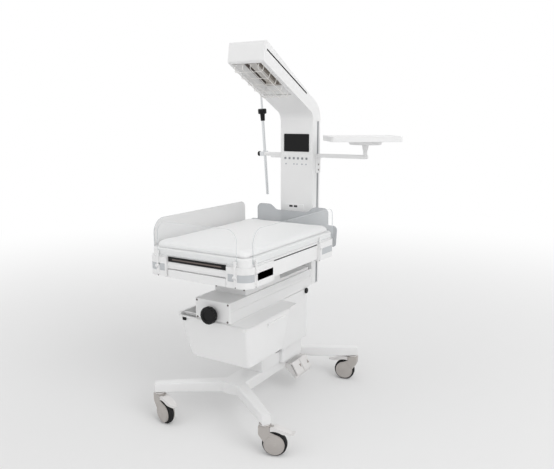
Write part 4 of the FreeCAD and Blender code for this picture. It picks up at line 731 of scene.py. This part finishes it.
def in_latch(p):
    return ((np.abs(p[:, 0] - LATCH_X) < LATCH_HALF + 0.5) & (p[:, 1] < LATCH_REAR - TOUCH)
            & (p[:, 2] > LATCH_LOW - 0.5))


def in_socket(p):
    near = np.minimum(np.abs(p[:, 0] - SOCKETS[0]), np.abs(p[:, 0] - SOCKETS[1]))
    return ((near < SOCKET_HALF_WIDTH + 0.2) & (np.abs(p[:, 2] - SOCKET_HEIGHT) < SOCKET_HALF_HEIGHT + 0.2)
            & (p[:, 1] < COLUMN_FRONT - 2.5))


def on_foot_mark(p):
    """Above the flat of the foot pads, measured square to their slope."""
    length = math.hypot(PAD_RUN, PAD_DROP)
    across, up = (p[:, 0] - PAD_TOP[0]) * PAD_DROP, (p[:, 2] - PAD_TOP[1]) * PAD_RUN
    return across / length + up / length > PAD_FACE


def on_strap(p, axis):
    """Hinge straps of a panel: 10 mm wide, on the outside of its sheet."""
    if axis == 1:
        across, out = np.abs(np.abs(p[:, 0]) - FOOT_STRAP), FOOT_SHEET_FRONT - p[:, 1]
    else:
        across = np.minimum(np.abs(p[:, 1] - SIDE_STRAPS[0]), np.abs(p[:, 1] - SIDE_STRAPS[1]))
        out = np.abs(p[:, 0]) - SIDE_SHEET_OUTSIDE
    return (across < STRAP_HALF + 0.2) & (out > -TOUCH)


# CAD nodes that keep their own mesh

KEPT = (
    ("lift_actuator", "zinc"),
    ("tilt_spindle", "zinc"),
    ("heater_element", "ceramic"),
    ("reflector", "reflector_sheet"),
    ("pole_tube", "chrome"),
    ("pole_rod", "chrome"),
)


class WARMER_OT_kept_nodes(bpy.types.Operator):
    """Finishes of the nodes that keep their CAD mesh"""
    bl_idname = "warmer.kept_nodes"
    bl_label = "Finishes of kept nodes"

    def execute(self, context):
        for node, finish in KEPT:
            mesh = NODES[node].data
            mesh.materials.clear()
            mesh.materials.append(FINISH[finish])
        return {"FINISHED"}


# Castors: tyres, hub covers and swivel rings

PIVOTS = {"front_right": (335, -510, 20), "front_left": (-335, -510, -15),
          "rear_right": (335, 510, 192), "rear_left": (-335, 510, 200)}
TRAIL = 50.0
WHEEL_RADIUS = 62.5
# Half sections as (distance along the axis, radius), from the wheel's middle or from the floor
TYRE_SECTION = [(-16, 46), (-16, 55), (-10, WHEEL_RADIUS), (10, WHEEL_RADIUS), (16, 55), (16, 46)]
HUB_SECTION = [(-17, 20), (-17, 44), (-15.5, 46), (15.5, 46), (17, 44), (17, 20)]
COVER_SECTION = [(22, 49), (24.2, 49.5), (25, 48), (25, 45.5), (24.1, 45), (24.1, 43.8), (25.2, 43),
                 (26.4, 14), (27.6, 13), (28, 10), (28, 1)]
RING_SECTION = [(158.2, 27), (158.2, 28.8), (162.6, 28.8), (162.6, 27)]
SEAL_SECTION = [(156.6, 27), (156.6, 28.3), (158.1, 28.3), (158.1, 27)]
UP = (0, 0, 1)


class WARMER_OT_castors(bpy.types.Operator):
    """Rounded tyres, hubs, stepped wheel covers and the rings of the swivels"""
    bl_idname = "warmer.castors"
    bl_label = "Castors"

    def execute(self, context):
        for corner, (x, y, heading) in PIVOTS.items():
            turn = math.radians(heading)
            way = np.array([math.cos(turn), math.sin(turn), 0.0])
            axle = np.array([-math.sin(turn), math.cos(turn), 0.0])
            hub = np.array([x, y, 0.0]) + TRAIL * way + [0, 0, WHEEL_RADIUS]
            tyre = lathe("tyre_" + corner, TYRE_SECTION, hub, axle, 72, 5.0)
            finish_piece(tyre, FINISH["tread_rubber"], "wheel_" + corner, ("wheel_" + corner,))
            core = lathe("hub_" + corner, HUB_SECTION, hub, axle, 48, 1.0)
            finish_piece(core, FINISH["castor_nylon"], "wheel_" + corner)
            for side, hand in ((-1, "right"), (1, "left")):
                cover = lathe("wheel_cover_%s_%s" % (corner, hand), COVER_SECTION, hub, side * axle, 64, 0.6)
                finish_piece(cover, FINISH["castor_nylon"], "castor_" + corner)
            ring = lathe("swivel_ring_" + corner, RING_SECTION, (x, y, 0), UP, 48, 0.8)
            finish_piece(ring, FINISH["pedal_grey_and_highlight"], "castor_" + corner)
            seal = lathe("swivel_seal_" + corner, SEAL_SECTION, (x, y, 0), UP, 48, 0.4)
            finish_piece(seal, FINISH["seal_brown"], "castor_" + corner)
        return {"FINISHED"}


# Heater head: guard, louvres and seams of the mouth, in the mouth's own frame

GUARD_CROSS_WIRES, GUARD_LONG_WIRES = 5, 4
GUARD_TOP, GUARD_DROP, GUARD_REACH, GUARD_BEND = -3.0, 32.0, 86.0, 12.0
GUARD_LONG_SPREAD, GUARD_END_GAP, GUARD_LONG_RISE = 144.0, 6.0, 3.2
REFLECTOR_WALL = 72.4
LOUVRES, LOUVRE_FIRST, LOUVRE_PITCH = 18, 36.0, 14.8
LOUVRE_OUTLINE = ((0, 43), (8, 43), (11, 59.5), (3, 59.5))
SEAM_HALF_LENGTH, SEAM_HALF_WIDTH = 90.0, 1.1


def guard_wires():
    """Cross wires in a U over the mouth, and long wires that lie on them."""
    wires = []
    radius = sizes().guard_wire / MM
    along = from_head(0, 1, 0) - from_head(0, 0, 0)
    across = np.array([-GUARD_REACH, -GUARD_REACH, GUARD_REACH, GUARD_REACH])
    hang = np.array([GUARD_TOP, -GUARD_DROP, -GUARD_DROP, GUARD_TOP])
    for i in range(GUARD_CROSS_WIRES):
        run = MOUTH_LENGTH * (i + 0.5) / GUARD_CROSS_WIRES
        wires.append(wire("guard_cross_%d" % i, from_head(across, run, hang), radius, along, GUARD_BEND))
    near, far = GUARD_END_GAP, MOUTH_LENGTH - GUARD_END_GAP
    level = GUARD_LONG_RISE - GUARD_DROP
    for i in range(GUARD_LONG_WIRES):
        x = GUARD_LONG_SPREAD * (i / (GUARD_LONG_WIRES - 1) - 0.5)
        path = from_head(x, np.array([near, near, far, far]), np.array([GUARD_TOP, level, level, GUARD_TOP]))
        wires.append(wire("guard_long_%d" % i, path, radius, (1, 0, 0), GUARD_BEND))
    return join("guard_wires", wires)


def on_reflector_wall(u, v, w):
    """Outline along the mouth and up, thickness from the reflector's left wall towards +X."""
    return from_head(w - REFLECTOR_WALL, u, v)


class WARMER_OT_heater(bpy.types.Operator):
    """Rounded guard wires, louvres on the reflector's left wall and the seams of the mouth"""
    bl_idname = "warmer.heater"
    bl_label = "Heater mouth"

    def execute(self, context):
        finish_piece(guard_wires(), FINISH["coated_wire"], "carriage",
                     ("wire_guard",))
        # Painted shade: a dark brown sheet behind the louvre slats stands in for the shade in the openings
        # between them.
        back = plate("louvre_back", box_corners(32, 302, 41, 61), 0.1, 0.6, 3.0, 0.2, on_reflector_wall)
        finish_piece(back, FINISH["seal_brown"], "carriage")
        slats = []
        for i in range(LOUVRES):
            start = LOUVRE_FIRST + i * LOUVRE_PITCH
            outline = [(start + run, rise) for run, rise in LOUVRE_OUTLINE]
            slats.append(plate("slat", outline, 0.6, 2.4, 1.0, 0.5, on_reflector_wall))
        row = join("louvre_slats", slats)
        finish_piece(row, FINISH["screw_dark"], "carriage")
        outline = box_corners(-SEAM_HALF_LENGTH, SEAM_HALF_LENGTH, -SEAM_HALF_WIDTH, SEAM_HALF_WIDTH)
        for name, run in (("front", 0.5), ("rear", MOUTH_LENGTH - 0.5)):
            seam = plate("mouth_seam_" + name, outline, 3.0, 3.6, 0.5, 0.2,
                         lambda u, v, w, run=run: from_head(u, run + v, -w))
            finish_piece(seam, FINISH["seal_brown"], "carriage")
        return {"FINISHED"}


# Small parts on the bed, the beam and the column: places in mm, each with the way that it faces

FRONT = (0, -1, 0)
BEAM_FRONT, NECK_FRONT = -470.0, -316.0
BEAM_SCREWS = ((-97, 702), (97, 702), (-94, 614), (94, 614))
NECK_SCREW_X, NECK_SCREW_HEIGHT = 88.5, 742.0
BRACKET_FACE, BRACKET_Y, BRACKET_SCREWS = 117.0, 433.0, (1308.0, 1339.0)
SCREW_SECTION = [(0, 5.2), (1.0, 5.2), (2.5, 3.6), (2.6, 1.9), (1.2, 1.8), (1.2, 0.3)]
PIN_SECTION = [(-1.0, 2.9), (0.5, 2.9), (0.9, 2.2), (0.9, 0.3)]
PIN_LOW, FOOT_PIN_HIGH, SIDE_PIN_HIGH = 841.5, 909.0, 924.0
PIN_FRONT, PIN_SIDE = -597.0, 306.0
TRAY_FRONT = 586.0
LAMPS, LAMP_HEIGHT = (-72, -17, 4, 38, 65), 1341.0
LAMP_SECTION = [(-4, 3.9), (1.2, 3.9), (2.4, 3.0), (2.9, 1.6), (3.0, 0.3)]


def screw_places():
    places = [((x, BEAM_FRONT, z), FRONT) for x, z in BEAM_SCREWS]
    places += [((x, NECK_FRONT, NECK_SCREW_HEIGHT), FRONT) for x in (-NECK_SCREW_X, NECK_SCREW_X)]
    return places + [((BRACKET_FACE, BRACKET_Y, z), (1, 0, 0)) for z in BRACKET_SCREWS]


def hinge_pin_places():
    """Dark screw ends above and below each hinge of the clear panels."""
    places = []
    for sign in (-1, 1):
        places.append(((sign * FOOT_STRAP, PIN_FRONT, PIN_LOW), FRONT))
        places += [((sign * PIN_SIDE, y, PIN_LOW), (sign, 0, 0)) for y in SIDE_STRAPS]
        places.append(((sign * FOOT_STRAP, PIN_FRONT, FOOT_PIN_HIGH), FRONT))
        places += [((sign * PIN_SIDE, y, SIDE_PIN_HIGH), (sign, 0, 0)) for y in SIDE_STRAPS]
    return places


def row_of(name, part, section, places, segments, ease):
    """One object of equal turned parts at several places."""
    return join(name, [lathe(part, section, place, way, segments, ease) for place, way in places])


class WARMER_OT_hardware(bpy.types.Operator):
    """Screw heads, hinge pins, tray front, side strips and lamps"""
    bl_idname = "warmer.hardware"
    bl_label = "Screws, pins and lamps"

    def execute(self, context):
        screws = row_of("screw_heads", "screw", SCREW_SECTION, screw_places(), 24, 0.3)
        finish_piece(screws, FINISH["screw_dark"], "carriage", ("screws",))
        dots = row_of("hinge_pin_ends", "pin", PIN_SECTION, hinge_pin_places(), 20, 0.2)
        finish_piece(dots, FINISH["screw_dark"], "bed")
        front = plate("tray_front", box_corners(-176, 176, 914.5, 940.5), TRAY_FRONT, TRAY_FRONT + 2,
                      3.0, 0.6, facing_front)
        finish_piece(front, FINISH["display_glass"], "tray")
        # Painted highlight: the side strips take the pale pedal grey in place of the insert grey, for the lit
        # side of the bed.
        for side, hand in ((-1, "left"), (1, "right")):
            strip = plate("side_strip_" + hand, box_corners(-508.5, -377.5, 868.6, 903.4), 303.1, 303.8,
                          0.5, 0.2, lambda u, v, w, side=side: facing_right(u, v, side * w))
            finish_piece(strip, FINISH["pedal_grey_and_highlight"], "bed")
        stripe = plate("tray_stripe", box_corners(-150, 150, 924.5, 930.5), TRAY_FRONT + 1.9,
                       TRAY_FRONT + 2.8, 2.5, 0.4, facing_front)
        finish_piece(stripe, FINISH["seal_brown"], "tray")
        places = [((x, COLUMN_FRONT, LAMP_HEIGHT), FRONT) for x in LAMPS]
        lenses = row_of("lamp_lenses", "lamp", LAMP_SECTION, places, 24, 0.5)
        finish_piece(lenses, FINISH["lamp_lens"], "carriage",
                     ("indicator_lamps",))
        return {"FINISHED"}


# Mattress, in mm

SHRINK = (0.988, 0.991, 0.92)
CLOTH_FRAMES = 20
PAD_HALF_WIDTH, PAD_FRONT, PAD_REAR = 289.0, -582.0, 284.0
WELL_HALF_WIDTH, WELL_FRONT, WELL_REAR = 261.0, -551.0, 263.0
PAD_FLOOR, RIM_TOP, PAD_CROWN = 950.5, 976.8, 1009.0


class WARMER_OT_mattress(bpy.types.Operator):
    """Foam mattress in a coated cover, swollen by a cloth simulation and capped"""
    bl_idname = "warmer.mattress"
    bl_label = "Mattress"

    def execute(self, context):
        pad = shrunken_copy("mattress", "mattress_cover")
        remesh = pad.modifiers.new("Even grid", "REMESH")
        remesh.mode = "VOXEL"
        remesh.voxel_size = sizes().mattress_grid
        apply_modifiers(pad)
        rest = vertex_places(pad.data)
        swell(pad)
        soft = vertex_places(pad.data)
        pad.data.vertices.foreach_set("co", (settled(rest, soft) * MM).ravel())
        pad.data.update()
        fine = pad.modifiers.new("Smooth cover", "SUBSURF")
        fine.levels = fine.render_levels = 1
        apply_modifiers(pad)
        shade(pad, 180)
        finish_piece(pad, FINISH["mattress_cover"], "bed", ("mattress",))
        return {"FINISHED"}


def shrunken_copy(node, name):
    """Merged copy of a CAD node, drawn in towards its middle so that it has room to swell."""
    shell = bmesh.new()
    shell.from_mesh(NODES[node].data)
    bmesh.ops.remove_doubles(shell, verts=shell.verts, dist=1e-6)
    mesh = bpy.data.meshes.new(name)
    shell.to_mesh(mesh)
    shell.free()
    piece = bpy.data.objects.new(name, mesh)
    bpy.context.scene.collection.objects.link(piece)
    low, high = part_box(node)
    middle = (np.array(low) + np.array(high)) / 2 / MM
    start = middle + (vertex_places(mesh) - middle) * np.array(SHRINK)
    mesh.vertices.foreach_set("co", (start * MM).ravel())
    return piece


def swell(pad):
    """Blow the cover up by a cloth simulation under pressure, without gravity, and keep its last frame."""
    cloth = pad.modifiers.new("Cover", "CLOTH")
    cloth.settings.quality = 5
    cloth.settings.mass = 0.3
    cloth.settings.tension_stiffness = 15
    cloth.settings.compression_stiffness = 15
    cloth.settings.bending_stiffness = 2
    cloth.settings.use_pressure = True
    cloth.settings.uniform_pressure_force = 4.0
    cloth.settings.effector_weights.gravity = 0.0
    cloth.collision_settings.use_collision = False
    cloth.point_cache.frame_start, cloth.point_cache.frame_end = 1, CLOTH_FRAMES
    for frame_number in range(1, CLOTH_FRAMES + 1):
        bpy.context.scene.frame_set(frame_number)
    apply_modifiers(pad)
    bpy.context.scene.frame_set(1)


def settled(rest, soft):
    """Each point moves at most the swell from where it began, and stays clear of the panels and the deck:
    beyond the well's opening it lies above the rim, and it passes the CAD pad's sides by 0.5 mm at most."""
    move = soft - rest
    length = np.linalg.norm(move, axis=1, keepdims=True)
    places = rest + move * np.minimum(1, sizes().mattress_swell / MM / np.maximum(length, 1e-9))
    places[:, 0] = np.clip(places[:, 0], -PAD_HALF_WIDTH, PAD_HALF_WIDTH)
    places[:, 1] = np.clip(places[:, 1], PAD_FRONT, PAD_REAR)
    over_rim = (np.abs(places[:, 0]) > WELL_HALF_WIDTH) | ~between(places[:, 1], WELL_FRONT, WELL_REAR, 0)
    places[:, 2] = np.clip(places[:, 2], np.where(over_rim, RIM_TOP, PAD_FLOOR), PAD_CROWN)
    return places


def apply_modifiers(piece):
    """Replace the piece's mesh by its evaluated one and drop its modifiers."""
    graph = bpy.context.evaluated_depsgraph_get()
    made = bpy.data.meshes.new_from_object(piece.evaluated_get(graph))
    old = piece.data
    piece.modifiers.clear()
    piece.data = made
    bpy.data.meshes.remove(old)


class WARMER_PT_panel(bpy.types.Panel):
    """Lists the warmer's pieces"""
    bl_label = "Warmer"
    bl_idname = "WARMER_PT_panel"
    bl_space_type = "VIEW_3D"
    bl_region_type = "UI"
    bl_category = "Warmer"

    def draw(self, context):
        for kind in OPERATORS:
            self.layout.operator(kind.bl_idname)


OPERATORS = (WARMER_OT_stage, WARMER_OT_housings, WARMER_OT_kept_nodes, WARMER_OT_castors, WARMER_OT_heater,
             WARMER_OT_hardware, WARMER_OT_mattress)
CLASSES = (WarmerLook, WarmerSizes) + OPERATORS + (WARMER_PT_panel,)


def register():
    for kind in CLASSES:
        bpy.utils.register_class(kind)
    bpy.types.Scene.warmer_look = bpy.props.PointerProperty(type=WarmerLook)
    bpy.types.Scene.warmer_sizes = bpy.props.PointerProperty(type=WarmerSizes)


def unregister():
    del bpy.types.Scene.warmer_sizes
    del bpy.types.Scene.warmer_look
    for kind in reversed(CLASSES):
        bpy.utils.unregister_class(kind)


def main():
    register()
    FINISH.update(finishes())
    for kind in OPERATORS:
        group, call = kind.bl_idname.split(".")
        getattr(getattr(bpy.ops, group), call)()


if __name__ == "__main__":
    main()
